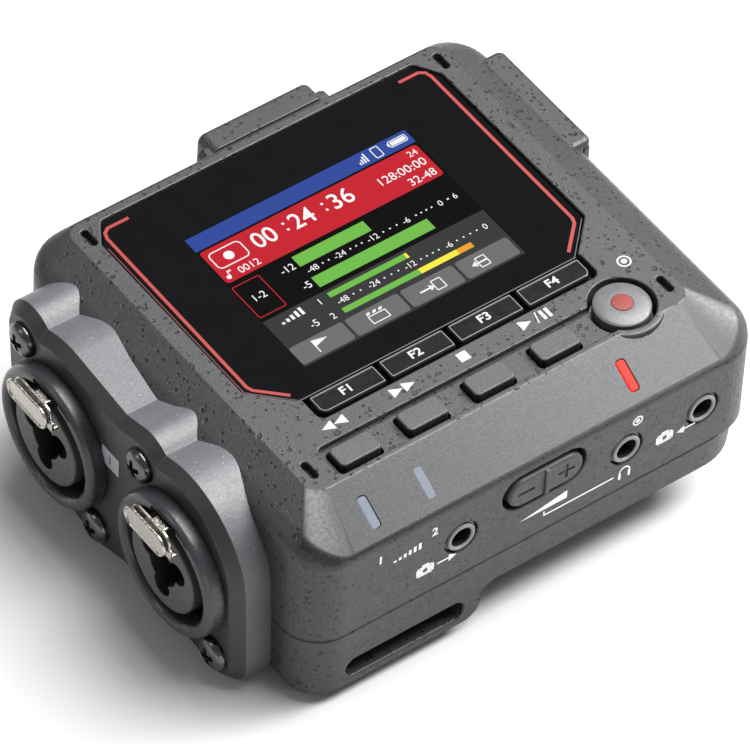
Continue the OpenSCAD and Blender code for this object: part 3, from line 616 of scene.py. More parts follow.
def lens_circles():
    w = 31.5
    y0, y1 = -20.4, LENS_BACK_Y
    points = [(-25.5, y0), (25.5, y0), (w, y0 + 6), (w, y1 - 4), (w - 2.6, y1), (2.6 - w, y1),
              (-w, y1 - 4), (-w, y0 + 6)]
    return [(x + LENS_MID_X, y, r) for x, y, r in corners(points, 0.9)]


SOFT_X = [0.9 + (i - 1.5) * 12.65 for i in range(4)]
SOFT_Y = -22.7
TRANSPORT_X = [-24 + i * 12.2 for i in range(4)]
TRANSPORT_Y = -32.6
TRANSPORT_FLOOR = TOP_Z - 1.2
REC_X, REC_Y = 25.8, -31.8
LIGHT_X = (-28.0, -17.9, 19.5)
LIGHT_Y = -41.6
LIGHT_Z = TOP_Z - (-36.5 - LIGHT_Y) * 5.7 / 9.5
JACK_X = (-13.8, 16.8, 31.1)
JACK_Z = TOP_Z - 13.7
ROCKER_X, ROCKER_Z = 1.4, TOP_Z - 10.6


def slope_place(x):
    return Matrix.Translation((x, LIGHT_Y, LIGHT_Z)) @ Matrix.Rotation(SLOPE, 4, "X")


def obround(x, z, w, h):
    r = h / 2
    return [(x - w / 2 + r, z, r), (x + w / 2 - r, z, r)]


def blocks(*parts, name="cutter"):
    """One object from several (circles, stations, plane, turn) solids that don't touch."""
    bm = bmesh.new()
    for part in parts:
        solid(bm, *part)
    return to_object(bm, name)


def top_casing():
    bm = bmesh.new()
    steps = 5
    corner_z = {"left": 33.2, "right": 33.2, "front": 30.3, "back": 33.6}
    radius = {"left": 4.2, "right": 4.2, "front": 1.5, "back": 2.4}
    inner_z = {"left": 30.0, "right": 30.0, "front": 28.2, "back": 30.6}
    outer, inner = {}, {}
    for side, rim in RIM.items():
        foot = [Vector((0.14, SEAM_Z)), Vector((0.14, SEAM_Z + 0.18)), Vector((0.0, SEAM_Z + 0.34))]
        rest = filleted([(0, SEAM_Z + 1), (0, corner_z[side]), (rim, TOP_Z), (rim + 4, TOP_Z)],
            [radius[side], 0.7], steps)
        outer[side] = foot + rest[:-1]
        inner[side] = [Vector((WALL, SEAM_Z)), Vector((WALL, inner_z[side])),
            Vector((rim + 0.8, TOP_Z - 3))]
    skins = casing_rings(bm, outer, RIM, 6.7, 2.5)
    linings = casing_rings(bm, inner, RIM, 4.9, 2.0)
    bridge(bm, skins[0], linings[0])
    bm.faces.new(skins[-1])
    bm.faces.new(linings[-1])
    shell = to_object(bm, "top_shell")

    pod_y0, pod_y1 = -1.1, 22.1
    pod = blocks((rounded_rect(37.4, 44.0, pod_y0, pod_y1, 1.3), rounded(32.9, 34.1, 0.2, 0.9)))
    pod_base = blocks((rounded_rect(37.4, RIGHT_X, pod_y0, pod_y1, 0.6), rounded(29.0, 33.4, 0, 0.2)))
    bm = bmesh.new()
    lathe(bm, [(0, 31.2), (6.5, 31.2)] + [(6.5 - g, z) for g, z in [(0, 35.6), (0.04, 35.78),
        (0.15, 35.91), (0.32, 35.98)]] + [(0, 35.98)], upward(REC_X, REC_Y, 0))
    collar = to_object(bm, "collar")
    carve(shell, pod, pod_base, collar, operation="UNION")

    edge = 0.22
    recesses = blocks(
        ([(x, y, r + 0.12) for x, y, r in lens_circles()], flare(34.05, TOP_Z, edge)),
        (rounded_rect(TRANSPORT_X[0] - 4.9, REC_X, TRANSPORT_Y - 3, TRANSPORT_Y + 3.1, 1.1),
         flare(TRANSPORT_FLOOR, TOP_Z, edge, foot=0.25)),
        *[(rounded_rect(x - 0.62, x + 0.62, y - 1.75, y + 1.75, 0.6),
           flare(TOP_Z - 1.5, TOP_Z, 0.2)) for x in (-32.0, 33.5) for y in (-32.2, 23.6)],
        *[(rounded_rect(-0.85, 0.85, -2.65, 2.65, 0.6), flare(-3.2, 0, 0.12), TOP, slope_place(x))
          for x in LIGHT_X],
        *[(disc(x, JACK_Z, 3.0), flare(-40, FRONT_Y, 0.3), FRONT)
          for x in JACK_X],
        (obround(ROCKER_X, ROCKER_Z, 15.5, 7.0), flare(-42.4, FRONT_Y, 0.35), FRONT),
        (rounded_rect(-34.0, 20.5, SEAM_Z - 8, 31, 7), [(0, -46), (0, -36)], SIDE),
        (rounded_rect(-34.5, -25.5, 20.4, 23.6, 0.5), flare(39, RIGHT_X, 0.25), SIDE),
        (rounded_rect(-19.75, -10.25, 22.0, 25.5, 1.2), flare(39, RIGHT_X, 0.25), SIDE),
        (rounded_rect(4.3, 16.7, 27.1, 28.9, 0.3), flare(39, RIGHT_X, 0.2), SIDE),
        *[(rounded_rect(x - 3.75, x + 3.75, 22.0, 25.5, 0.8), flare(26, BACK_Y, 0.25), FRONT)
          for x in (-13, 27)],
        (rounded_rect(-0.1, 13.3, 27.1, 31.4, 0.4), flare(26, BACK_Y, 0.2), FRONT))
    soft_recess = blocks((rounded_rect(SOFT_X[0] - 6.75, SOFT_X[3] + 6.75, SOFT_Y - 2.55, -19.5, 1.3),
        flare(TOP_Z - 2.2, TOP_Z, edge)))
    record_hole = blocks((disc(REC_X, REC_Y, 5.25), flare(31.0, TOP_Z - 0.02, 0.22)))
    wells = blocks(
        (rounded_rect(-21.4, 21.4, -16.3, 16.3, 0.5), [(0, 30), (0, 35)]),
        *[(rounded_rect(x - 6.1, x + 6.1, SOFT_Y - 2.15, SOFT_Y + 2.15, 0.6),
           [(0, 30), (0, 34.5)]) for x in SOFT_X],
        *[(rounded_rect(x - 3.98, x + 3.98, TRANSPORT_Y - 2.3, TRANSPORT_Y + 2.3, 0.7),
           [(0, 30), (0, 35.2)]) for x in TRANSPORT_X])
    carve(shell, recesses, soft_recess, record_hole, wells)

    # the front slope is smoother than the rest; its material also paints shade at the left and a sheen at
    # the right
    facing = Vector((0, -math.sin(SLOPE), math.cos(SLOPE)))
    for face in shell.data.polygons:
        c = face.center
        on_slope = c.y < -36.8 and c.z > 30.4 and face.normal.dot(facing) > 0.8
        face.material_index = 1 if on_slope else 0
    return adopt(shell, [casing_grey, slope_grey], stands_for="top_casing")


top_casing()

# --- bottom casing

BULGE_Z, UNDER_Z = 2.1, 8.4


def lower_form(name, inset, soft=0.0):
    """The lower casing as the common part of a plan outline and a front outline."""
    x0, x1 = LEFT_X + inset, RIGHT_X - 0.2 - inset
    y0, y1 = FRONT_Y + inset, BACK_Y - inset
    tight, wide = 6.7 - inset, 9.6 - inset
    plan = [(x0 + tight, y0 + tight, tight), (x1 - wide, y0 + wide, wide),
            (x1 - wide, y1 - wide, wide), (x0 + tight, y1 - tight, tight)]
    top = [(0, 0), (0, SEAM_Z - 0.34), (-0.14, SEAM_Z - 0.18), (-0.14, SEAM_Z)]
    body = blocks((plan, top if inset == 0 else [(0, 0), (0, SEAM_Z + 1)]), name=name)
    low, under = BULGE_Z + inset, UNDER_Z + inset
    edge = 6 - inset
    section = [(x0 + 1.5, low + 1.5, 1.5), (-12.6 - inset / 2, low + 3.4, 3.4),
               (-6.2 - inset / 2, under - 3.6, -3.6), (x1 - edge, under + edge, edge),
               (x1, SEAM_Z + 5, 0.0), (x0, SEAM_Z + 5, 0.0)]
    carve(body, blocks((section, [(0, y0 - 1), (0, y1 + 1)], FRONT)), operation="INTERSECT")
    if soft:
        with reopened(body.data) as bm:
            rims = [e for e in bm.edges if len(e.link_faces) == 2
                    and e.calc_face_angle() > math.radians(28)
                    and max(v.co.z for v in e.verts) < SEAM_Z - 1.5]
            bmesh.ops.bevel(bm, geom=rims, offset=soft, segments=4, profile=0.5, affect="EDGES",
                clamp_overlap=True)
    return body


DOOR_X = (1.8, 33.8)
DOOR_Y = (-32.0, 23.4)
FOOT_AT = ((-36.3, -40.2), (-36.3, 23.4))
SCREW_AT = ((37.8, -40.5), (37.9, 23.5), (24.2, -39.6), (-3, 24.2), (-20.3, 24))
TRIPOD_AT = (-27, -7.1)


def bottom_casing():
    body = lower_form("base_shell", 0.0, soft=1.1)
    hollow = lower_form("hollow", WALL)
    keep = bmesh.new()
    box_into(keep, -35.6, -10.6, FRONT_Y - 1, FRONT_Y + 9.4, -1, 8.8)
    solid(keep, disc(*TRIPOD_AT, 6.0), [(0, -1), (0, 10.3)])
    for x, y in SCREW_AT:
        solid(keep, disc(x, y, 2.6), [(0, -1), (0, SEAM_Z + 0.9)])
    carve(hollow, to_object(keep, "keep"))
    carve(body, hollow)

    rail = blocks((rounded_rect(35.2, 39.4, -34, 20, 1.9), rounded(1.2, UNDER_Z + 2.4, 0.3, 0)))
    carve(body, rail, operation="UNION")

    cuts = blocks(
        (obround(-23.2, 5.35, 21.6, 3.7), flare(-37.8, FRONT_Y, 0.35), FRONT),
        (rounded_rect(-34.0, 20.5, 6.5, SEAM_Z + 14, 4), [(0, -46), (0, -36)], SIDE),
        (rounded_rect(DOOR_X[0] - 0.3, DOOR_X[1] + 0.3, DOOR_Y[0] - 0.3, DOOR_Y[1] + 1.1, 0.4),
         [(0.2, 5), (0.2, UNDER_Z), (0, UNDER_Z + 0.2), (0, UNDER_Z + 4)]),
        *[(disc(x, y, 3.25), [(0.2, -1), (0.2, BULGE_Z), (0, BULGE_Z + 0.5)]) for x, y in FOOT_AT],
        (disc(*TRIPOD_AT, 4.45),
         [(0.2, -1), (0.2, BULGE_Z), (0, BULGE_Z + 0.2), (0, 9.2)]),
        *[(disc(x, y, 2.2), [(0, -1), (0, (BULGE_Z if x < -12 else UNDER_Z) + 1.6)]) for x, y in SCREW_AT])
    window = blocks((rounded_rect(-34, -12.4, FRONT_Y + 3.8, FRONT_Y + 8.2, 1.2),
        [(0.3, -1), (0.3, BULGE_Z), (0, BULGE_Z + 0.3), (0, 5.2)]))
    shafts = blocks(*[(disc(x, y, 1.15), [(0, -1), (0, SEAM_Z + 2)]) for x, y in SCREW_AT])
    carve(body, cuts, window, shafts)
    return adopt(body, casing_grey, stands_for="bottom_casing")


bottom_casing()

# --- input panel


def panel_circles():
    """Face of the panel in (Y, Z): an arch over each socket and a lug round every screw."""
    arch, lug = 12.7, 4.0
    arches, upper, lower = [], [], []
    for y in SOCKET_Y:
        arches.append((y, SOCKET_Z + 2.9, arch))
        upper.append((y + LUG_Y, SOCKET_Z + LUG_Z, lug))
        lower.append((y - LUG_Y, SOCKET_Z - LUG_Z, 3.7))
    return [lower[1], (-9.3, 0.6, -3.0), lower[0], (SOCKET_Y[0], SOCKET_Z - 0.9, arch), upper[0],
            nestle(upper[0], arches[0], 1.9), arches[0], (-6.3, 33.6, -2.4), upper[1],
            nestle(upper[1], arches[1], 1.9), arches[1]]


def input_panel():
    stations = [(PANEL_CHAMFER, -37.5), (PANEL_CHAMFER, PANEL_X + PANEL_CHAMFER + 0.1),
                (PANEL_CHAMFER - 0.05, PANEL_X + PANEL_CHAMFER), (0.12, PANEL_X + 0.12),
                (0.0, PANEL_X + 0.03), (-0.15, PANEL_X)]
    panel = blocks((panel_circles(), stations, SIDE, None, 5), name="input_panel_form")
    cuts = blocks(*[(disc(y, SOCKET_Z, 11.6), [(0, -30), (0, PANEL_X - 2)], SIDE) for y in SOCKET_Y],
        *[(disc(y, z, 1.15), [(0, PANEL_X + 5), (0, PANEL_X - 2)], SIDE) for y, z in LUG_AT])
    carve(panel, cuts)
    # painted light: the boss sides get a lighter copy of the panel plastic as a painted sheen, while the
    # face and its chamfer keep the dark colour
    for face in panel.data.polygons:
        leftward = -face.normal.x
        face.material_index = 0 if leftward > 0.9 else 2 if leftward > 0.3 else 1
    return adopt(panel, [panel_grey, boss_sheen_grey, chamfer_grey], slot="panel_plastic",
        stands_for="input_panel")


input_panel()

# --- display cover and screen


def flat_shape(bm, points, z, plane=TOP, thick=0.02):
    """A thin closed plate from (x, y) points; z is its upper side."""
    lower, upper = [], []
    for x, y in points:
        for w, ring in ((z - thick, lower), (z, upper)):
            ring.append(bm.verts.new(plane(x, y, w)))
    bridge(bm, lower, upper)
    bm.faces.new(lower[::-1])
    bm.faces.new(upper)


def bar(bm, x0, x1, y0, y1, z, r=0.0, plane=TOP, thick=0.02):
    points = [(x0, y0), (x1, y0), (x1, y1), (x0, y1)]
    if r:
        points = outline(rounded_rect(x0, x1, y0, y1, r), step=15)
    flat_shape(bm, points, z, plane, thick)


def frame_line(bm, circles, width, z, plane=TOP, thick=0.02):
    """A closed outline drawn as a thin raised band of the given width."""
    outer, inner = outline(circles, 0, 10), outline(circles, -width, 10)
    rings = []
    for points, w in ((outer, z - thick), (outer, z), (inner, z), (inner, z - thick)):
        rings.append([bm.verts.new(plane(x, y, w)) for x, y in points])
    for a, b in zip(rings, rings[1:] + rings[:1]):
        bridge(bm, a, b)


def path_band(bm, points, width, z, thick=0.03):
    """An open line of straight runs, drawn as a thin band of the given width."""
    points = [Vector(p) for p in points]
    left, right = [], []
    for i, p in enumerate(points):
        before = (p - points[i - 1]).normalized() if i else (points[1] - p).normalized()
        after = (points[i + 1] - p).normalized() if i + 1 < len(points) else before
        normal = Vector((-before.y - after.y, before.x + after.x)).normalized()
        reach = width / 2 / max(0.3, normal.dot(Vector((-before.y, before.x))))
        left.append(p + normal * reach)
        right.append(p - normal * reach)
    for i in range(len(points) - 1):
        flat_shape(bm, [left[i], right[i], right[i + 1], left[i + 1]], z, thick=thick)


def lettering(bm, text, x, y, height, z, plane=TOP, align="LEFT", wide=1.0, heavy=0.0):
    """Generic figures and signs from the built-in face, as thin solid shapes."""
    curve = bpy.data.curves.new("lettering", "FONT")
    curve.body = text
    curve.size = height / 0.7
    curve.align_x = align
    curve.offset = heavy
    curve.resolution_u = 4
    curve.extrude = 0.01
    temp = bpy.data.objects.new("lettering", curve)
    bpy.context.scene.collection.objects.link(temp)
    bpy.context.view_layer.update()
    graph = bpy.context.evaluated_depsgraph_get()
    mesh = bpy.data.meshes.new_from_object(temp.evaluated_get(graph), depsgraph=graph)
    with reopened(mesh) as part:
        for v in part.verts:
            v.co = plane(x + v.co.x * wide, y + v.co.y, z - 0.01 + v.co.z)
    bm.from_mesh(mesh)
    bpy.data.objects.remove(temp)
    bpy.data.curves.remove(curve)
    bpy.data.meshes.remove(mesh)


def display_cover():
    bm = bmesh.new()
    solid(bm, lens_circles(), rounded(34.1, LENS_TOP_Z, 0.05, 0.3, 5))
    finish_piece(bm, "cover_plate", cover_black, slot="cover_gloss", stands_for="display_cover")
    z = LENS_TOP_Z + 0.03
    left = [(-24.6, 23.9), (-28.4, 23.9), (-29.3, 23.3), (-29.7, 22.2), (-29.9, -13.7),
            (-29.5, -14.7), (-25.5, -18.6)]
    right = [(25.6, 23.8), (29.3, 23.8), (30.2, 23.2), (30.5, 22.1), (30.4, -13.6), (30.0, -14.6),
             (25.7, -18.8)]
    bm = bmesh.new()
    path_band(bm, left, 0.55, z)
    path_band(bm, right, 0.55, z)
    finish_piece(bm, "cover_red_line", red_line, slot="signal_red")
    bm = bmesh.new()
    path_band(bm, [(-30.75, 20.5), (-30.85, -14.2), (-30.2, -15.2), (-26.1, -19.4)], 0.16, z)
    finish_piece(bm, "cover_edge_line", dark_red_line, slot="signal_red")


display_cover()


def screen_picture():
    base = LENS_TOP_Z + 0.02
    layers = {}

    def on(name):
        if name not in layers:
            layers[name] = bmesh.new()
        return layers[name]

    bar(on("black"), -20.5, 20.45, -15.35, 15.45, base, 0.1)
    z = base + 0.02
    bar(on("blue"), -20.4, 20.4, 12.4, 15.35, z)
    bar(on("red"), -20.2, 20.0, 4.6, 12.0, z, 0.6)
    bar(on("dark"), -20.45, 20.3, -15.3, -4.6, z)
    bar(on("green"), -9.2, 4.0, 1.35, 3.65, z)
    bar(on("green"), -9.2, 12.2, -3.65, -1.35, z)
    frame_line(on("red"), rounded_rect(-20.3, -15.3, -3.75, 3.6, 0.35), 0.16, z)
    z2 = z + 0.02
    bar(on("green"), -9.15, 5.0, -6.25, -5.2, z2)
    bar(on("yellow"), 5.0, 5.45, -6.25, -5.2, z2)
    bar(on("green"), -9.15, 5.0, -9.95, -8.9, z2)
    bar(on("yellow"), 5.0, 12.0, -9.95, -8.9, z2)
    bar(on("orange"), 12.0, 14.75, -9.95, -8.9, z2)
    for x0, x1 in ((-20.4, -10.75), (-10.25, -0.55), (-0.05, 9.6), (10.1, 19.8)):  # soft keys
        bar(on("grey"), x0, x1, -14.9, -11.0, z2, 0.5)

    ink = on("white")
    z3 = z2 + 0.02
    # status icons: signal steps, a memory card and a battery
    for i in range(4):
        bar(ink, 10.6 + i * 0.45, 10.85 + i * 0.45, 13.0, 13.5 + i * 0.45, z3)
    frame_line(ink, rounded_rect(13.4, 14.9, 12.75, 15.05, 0.3), 0.16, z3)
    frame_line(ink, rounded_rect(16.5, 19.8, 13.3, 14.7, 0.35), 0.14, z3)
    bar(ink, 16.85, 19.5, 13.6, 14.4, z3)
    bar(ink, 16.25, 16.45, 13.7, 14.3, z3)
    # recording mark
    frame_line(ink, rounded_rect(-19.5, -13.7, 7.45, 11.1, 0.9), 0.2, z3)
    flat_shape(ink, outline(disc(-16.65, 9.25, 0.85)), z3)
    # elapsed and remaining time, in figures only
    for text, x in (("00", -12.3), ("24", -5.3), ("36", 1.9)):
        lettering(ink, text, x, 7.75, 3.1, z3, wide=0.95, heavy=0.03)
    for x in (-6.25, 0.95):
        for y in (8.5, 9.9):
            bar(ink, x - 0.2, x + 0.2, y - 0.2, y + 0.2, z3)
    for text, x, y, height in (("128:00:00", 19.3, 7.75, 1.6), ("32-48", 19.3, 5.2, 1.5),
            ("24", 19.3, 10.15, 1.2), ("-12", -9.8, 1.4, 1.35), ("-5", -9.8, -2.9, 1.35)):
        lettering(ink, text, x, y, height, z3, align="RIGHT")
    # file mark: a small note of one stem and a numbered take
    flat_shape(ink, outline(disc(-19.2, 5.6, 0.4)), z3)
    bar(ink, -18.95, -18.78, 5.6, 6.8, z3)
    bar(ink, -18.95, -18.2, 6.5, 6.8, z3)
    lettering(ink, "0012", -17.3, 5.2, 1.35, z3)
    # input box and gain figures, with a small level sign
    for text, x, y, height in (("1-2", -17.8, -0.65, 1.35), ("1", -11.0, -6.6, 1.2),
            ("2", -11.0, -10.0, 1.2), ("-5", -14.2, -9.75, 1.35)):
        lettering(ink, text, x, y, height, z3, align="CENTER")
    for i in range(5):
        bar(ink, -18.2 + i * 0.9, -17.7 + i * 0.9, -6.7, -6.3 + i * 0.28, z3)
    scales = ((0.0, (("-48", -7.9), ("-24", -2.9), ("-12", 3.2), ("-6", 9.4), ("0", 15.8),
        ("6", 18.5)), ((-6, -4.9), (-0.9, 1.2), (5.2, 7.7), (11.3, 14.2), (17.2, 17.3))),
        (-7.6, (("-48", -7.9), ("-24", -2.2), ("-12", 4.5), ("-6", 11.7), ("0", 18.5)),
        ((-5.9, -4.6), (-0.2, 2.4), (6.6, 9.9), (13.3, 17.0))))
    for y, figures, dots in scales:
        for text, x in figures:
            lettering(ink, text, x, y - 0.5, 1.1, z3, align="CENTER")
        for x0, x1 in dots:
            count = max(1, round((x1 - x0) / 1.15))
            for i in range(count + 1):
                x = x0 + (x1 - x0) * i / count
                bar(ink, x - 0.13, x + 0.13, y - 0.05, y + 0.21, z3)
    # soft key pictures: flag, slate, arrow in, arrow out
    flat_shape(ink, [(-16.6, -12.9), (-14.2, -12.2), (-16.6, -11.6)], z3)
    bar(ink, -16.8, -16.6, -14.2, -11.6, z3)
    frame_line(ink, rounded_rect(-7.0, -3.8, -14.2, -12.5, 0.15), 0.18, z3)
    for i in range(3):
        flat_shape(ink, [(-7.0 + i * 1.1, -12.3), (-6.4 + i * 1.1, -12.3), (-6.1 + i * 1.1, -11.8),
            (-6.7 + i * 1.1, -11.8)], z3)
    for x, way in ((4.8, 1), (15.0, -1)):
        frame_line(ink, rounded_rect(x - 0.9 + way * 1.0, x + 0.9 + way * 1.0, -14.1, -11.9, 0.2),
                   0.18, z3)
        bar(ink, x - 2.4, x - 0.1, -13.15, -12.85, z3)
        tip = x + 0.3 if way > 0 else x - 3.0
        back = tip - way * 0.9
        wing = [(back, -13.6), (tip, -13.0), (back, -12.4)]
        flat_shape(ink, wing if way > 0 else wing[::-1], z3)
    for name, bm in layers.items():
        finish_piece(bm, "screen_" + name + "_layer", SCREEN[name], slot="screen", crease=20)


screen_picture()

# --- keys


def key_post(bm, x, y, top):
    lathe(bm, [(0, 29.5), (1.0, 29.5), (1.1, 29.6), (1.1, top), (0, top)], upward(x, y, 0), 24)


def key_stem(bm, x, y, w, d):
    """The hidden part of a key: flange under the casing and post over its switch."""
    box_into(bm, x - w / 2 - 0.15, x + w / 2 + 0.15, y - d / 2 - 0.45, y + d / 2 + 0.45, 31.9, 32.7)
    key_post(bm, x, y, 32.0)


def soft_keys():
    for i, x in enumerate(SOFT_X):
        w, d = 11.8, 3.9
        left_r, right_r = (1.3 if i == 0 else 0.45), (1.3 if i == 3 else 0.45)
        x0, x1, y0, y1 = x - w / 2, x + w / 2, SOFT_Y - d / 2, SOFT_Y + d / 2
        circles = [(x0 + left_r, y0 + left_r, left_r), (x1 - right_r, y0 + right_r, right_r),
                   (x1 - 0.45, y1 - 0.45, 0.45), (x0 + 0.45, y1 - 0.45, 0.45)]
        top = TOP_Z + 0.1
        bm = bmesh.new()
        solid(bm, circles, [(0, 32.6), (0, top - 0.32), (-0.06, top - 0.2), (-0.3, top - 0.02),
            (-0.42, top), (-0.5, top - 0.03)])
        key_stem(bm, x, SOFT_Y, w, d)
        name = f"soft_key_{i + 1}"
        finish_piece(bm, f"soft_cap_{i + 1}", soft_key_black, body=name, slot="key_gloss",
                     stands_for=name)
        # painted highlight: a thin light band just inside the cap's edge, for the light its rounded edge
        # catches
        bm = bmesh.new()
        frame_line(bm, [(cx, cy, r - 0.24) for cx, cy, r in circles], 0.13, top - 0.01)
        finish_piece(bm, f"soft_edge_highlight_{i + 1}", edge_highlight_grey, body=name, slot="key_gloss")
        bm = bmesh.new()
        lettering(bm, f"F{i + 1}", x - 0.2, SOFT_Y - 0.55, 1.5, top + 0.02, align="CENTER",
                  heavy=0.05, wide=1.1)
        finish_piece(bm, f"soft_mark_{i + 1}", legend_white, body=name, slot="key_gloss")


def transport_keys():
    for x, name in zip(TRANSPORT_X, ("rewind_key", "forward_key", "stop_key", "play_key")):
        w, d = 7.4, 4.0
        bm = bmesh.new()
        circles = rounded_rect(x - w / 2, x + w / 2, TRANSPORT_Y - d / 2, TRANSPORT_Y + d / 2, 0.9)
        top = TOP_Z + 0.2
        solid(bm, circles, [(0, 32.6)] + rounded(top - 1.0, top, 0, 0.3, 4))
        key_stem(bm, x, TRANSPORT_Y, w, d)
        cap = finish_piece(bm, name.replace("_key", "_cap"), [key_grey, key_side_shade], body=name,
            slot="key_matte", stands_for=name)
        # painted shade: the upright sides of each key take the darker copy of the key plastic
        for face in cap.data.polygons:
            if abs(face.normal.z) < 0.3:
                face.material_index = 1


def record_key():
    bm = bmesh.new()
    crown = [(4.5 * math.sin(a), 35.55 + 0.75 * math.cos(a) ** 0.8)
             for a in [math.pi / 2 * k / 12 for k in range(12, -1, -1)]]
    flat = [(r, min(h, 36.3)) for r, h in crown if r > 1.75]
    lathe(bm, [(0, 32.2), (4.9, 32.2), (4.9, 32.9), (4.5, 32.9)] + flat
          + [(1.72, flat[-1][1]), (1.7, 35.6), (0, 35.6)], upward(REC_X, REC_Y, 0), 72)
    key_post(bm, REC_X, REC_Y, 32.4)
    finish_piece(bm, "record_cap", record_grey, body="record_key", slot="key_matte",
        stands_for="record_key")
    bm = bmesh.new()
    lathe(bm, [(0, 35.6), (1.66, 35.6), (1.66, 36.24), (1.6, 36.3), (1.0, 36.34), (0, 36.35)],
          upward(REC_X, REC_Y, 0), 48)
    finish_piece(bm, "record_mark", record_red, body="record_key", slot="signal_red",
        stands_for="record_dot")


soft_keys()
transport_keys()
record_key()

# --- indicator windows


def lights():
    rows = zip(LIGHT_X, ("peak_light_1", "peak_light_2", "record_light"),
               (lamp_clear, lamp_clear, lamp_red), ("light_clear", "light_clear", "light_red"))
    for x, node, look, slot in rows:
        bm = bmesh.new()
        solid(bm, rounded_rect(-0.75, 0.75, -2.55, 2.55, 0.5), rounded(-3.0, 0.06, 0, 0.12, 3),
              TOP, slope_place(x))
        finish_piece(bm, node.replace("light", "window"), look, slot=slot, stands_for=node)


lights()

# --- front wall


def rocker():
    face = FRONT_Y - 0.4
    body = blocks((obround(ROCKER_X, ROCKER_Z, 13.8, 5.5), rounded(FRONT_Y + 3.3, face, 0, 0.55, 5),
        FRONT), name="rocker_cap")
    marks = bmesh.new()
    for x in (ROCKER_X - 5.2, ROCKER_X + 2.2):
        box_into(marks, x, x + 3, face - 1, face + 0.3, ROCKER_Z - 0.27, ROCKER_Z + 0.27)
    upright = bmesh.new()
    box_into(upright, ROCKER_X + 3.43, ROCKER_X + 3.97, face - 1, face + 0.3, ROCKER_Z - 1.45,
             ROCKER_Z + 1.45)
    carve(body, to_object(marks, "marks"), to_object(upright, "upright"))
    with reopened(body.data) as bm:
        solid(bm, rounded_rect(ROCKER_X - 0.45, ROCKER_X + 0.45, ROCKER_Z - 2.62, ROCKER_Z + 2.62,
            0.25), rounded(FRONT_Y + 1, FRONT_Y - 0.8, 0, 0.25), FRONT)
        box_into(bm, ROCKER_X - 8.7, ROCKER_X + 8.7, FRONT_Y + 2.5, FRONT_Y + 3.3,
                 ROCKER_Z - 3.65, ROCKER_Z + 3.65)
        lathe(bm, [(0, -4.6), (0.45, -4.6), (0.45, 4.6), (0, 4.6)],
              upward(ROCKER_X, FRONT_Y + 2.9, ROCKER_Z), 16)
    adopt(body, key_grey, body="volume_rocker", slot="key_matte", stands_for="volume_rocker")


def small_jacks():
    for x, node in zip(JACK_X, ("ext_in_jack", "phones_jack", "line_out_jack")):
        place = toward_front(x, FRONT_Y, JACK_Z)
        bm = bmesh.new()
        bore = 1.8
        lathe(bm, [(bore, -11.9), (bore, -0.1), (bore + 0.12, 0.08), (bore + 0.3, 0.15),
                   (bore + 0.55, 0.12), (bore + 0.68, 0.0), (bore + 0.72, -0.5), (2.85, -0.55),
                   (2.9, -0.65), (2.9, -2.6), (2.2, -2.6), (2.2, -11.9), (bore, -11.9)], place, 56)
        for face in bm.faces:
            far = (face.calc_center_median() - place.translation)
            radial = math.hypot(far.x, far.z)
            face.material_index = 1 if -far.y > -0.3 and bore < radial < 2.7 else 0
            # painted shade: the bore walls take the near-black colour
            if radial < bore + 0.01:
                face.material_index = 2
        box_into(bm, x - 3.2, x + 3.2, FRONT_Y + 2.6, FRONT_Y + 13, JACK_Z - 3, 25.5)
        finish_piece(bm, node.replace("jack", "socket_body"), [jack_black, jack_ring, shade_and_ink_black],
                     slot="jack_plastic", stands_for=node)
        bm = bmesh.new()
        lathe(bm, [(0, -3.4), (bore - 0.03, -3.4), (bore - 0.03, -3.1), (0, -3.1)], place, 32)
        finish_piece(bm, node.replace("jack", "bore_shadow"), shade_and_ink_black, slot="jack_plastic")


rocker()
small_jacks()

# --- combination sockets


def socket_shell(i, y):
    place = toward_left(PANEL_X, y, SOCKET_Z)
    profile = [(9.7, -18.0), (9.7, 1.6)]
    centre, half = (9.75 + 12.0) / 2, (12.0 - 9.75) / 2
    profile += [(centre - half * math.cos(a), 1.85 + half * math.sin(a))
                for a in [math.pi * k / 14 for k in range(15)]]
    profile += [(12.0, 0.1), (11.5, -0.05), (11.5, -18.0), (9.7, -18.0)]
    bm = bmesh.new()
    lathe(bm, profile, place, 96)
    shell = to_object(bm, f"socket_rim_{i}")
    notch = blocks((rounded_rect(y - 3.2, y + 3.2, SOCKET_Z + 8.2, SOCKET_Z + 11.0, 0.4),
        [(0, PANEL_X - 6), (0, PANEL_X + 0.02)], SIDE))
    carve(shell, notch)
    adopt(shell, ring_satin, slot="socket_satin", stands_for=f"socket_shell_{i}")


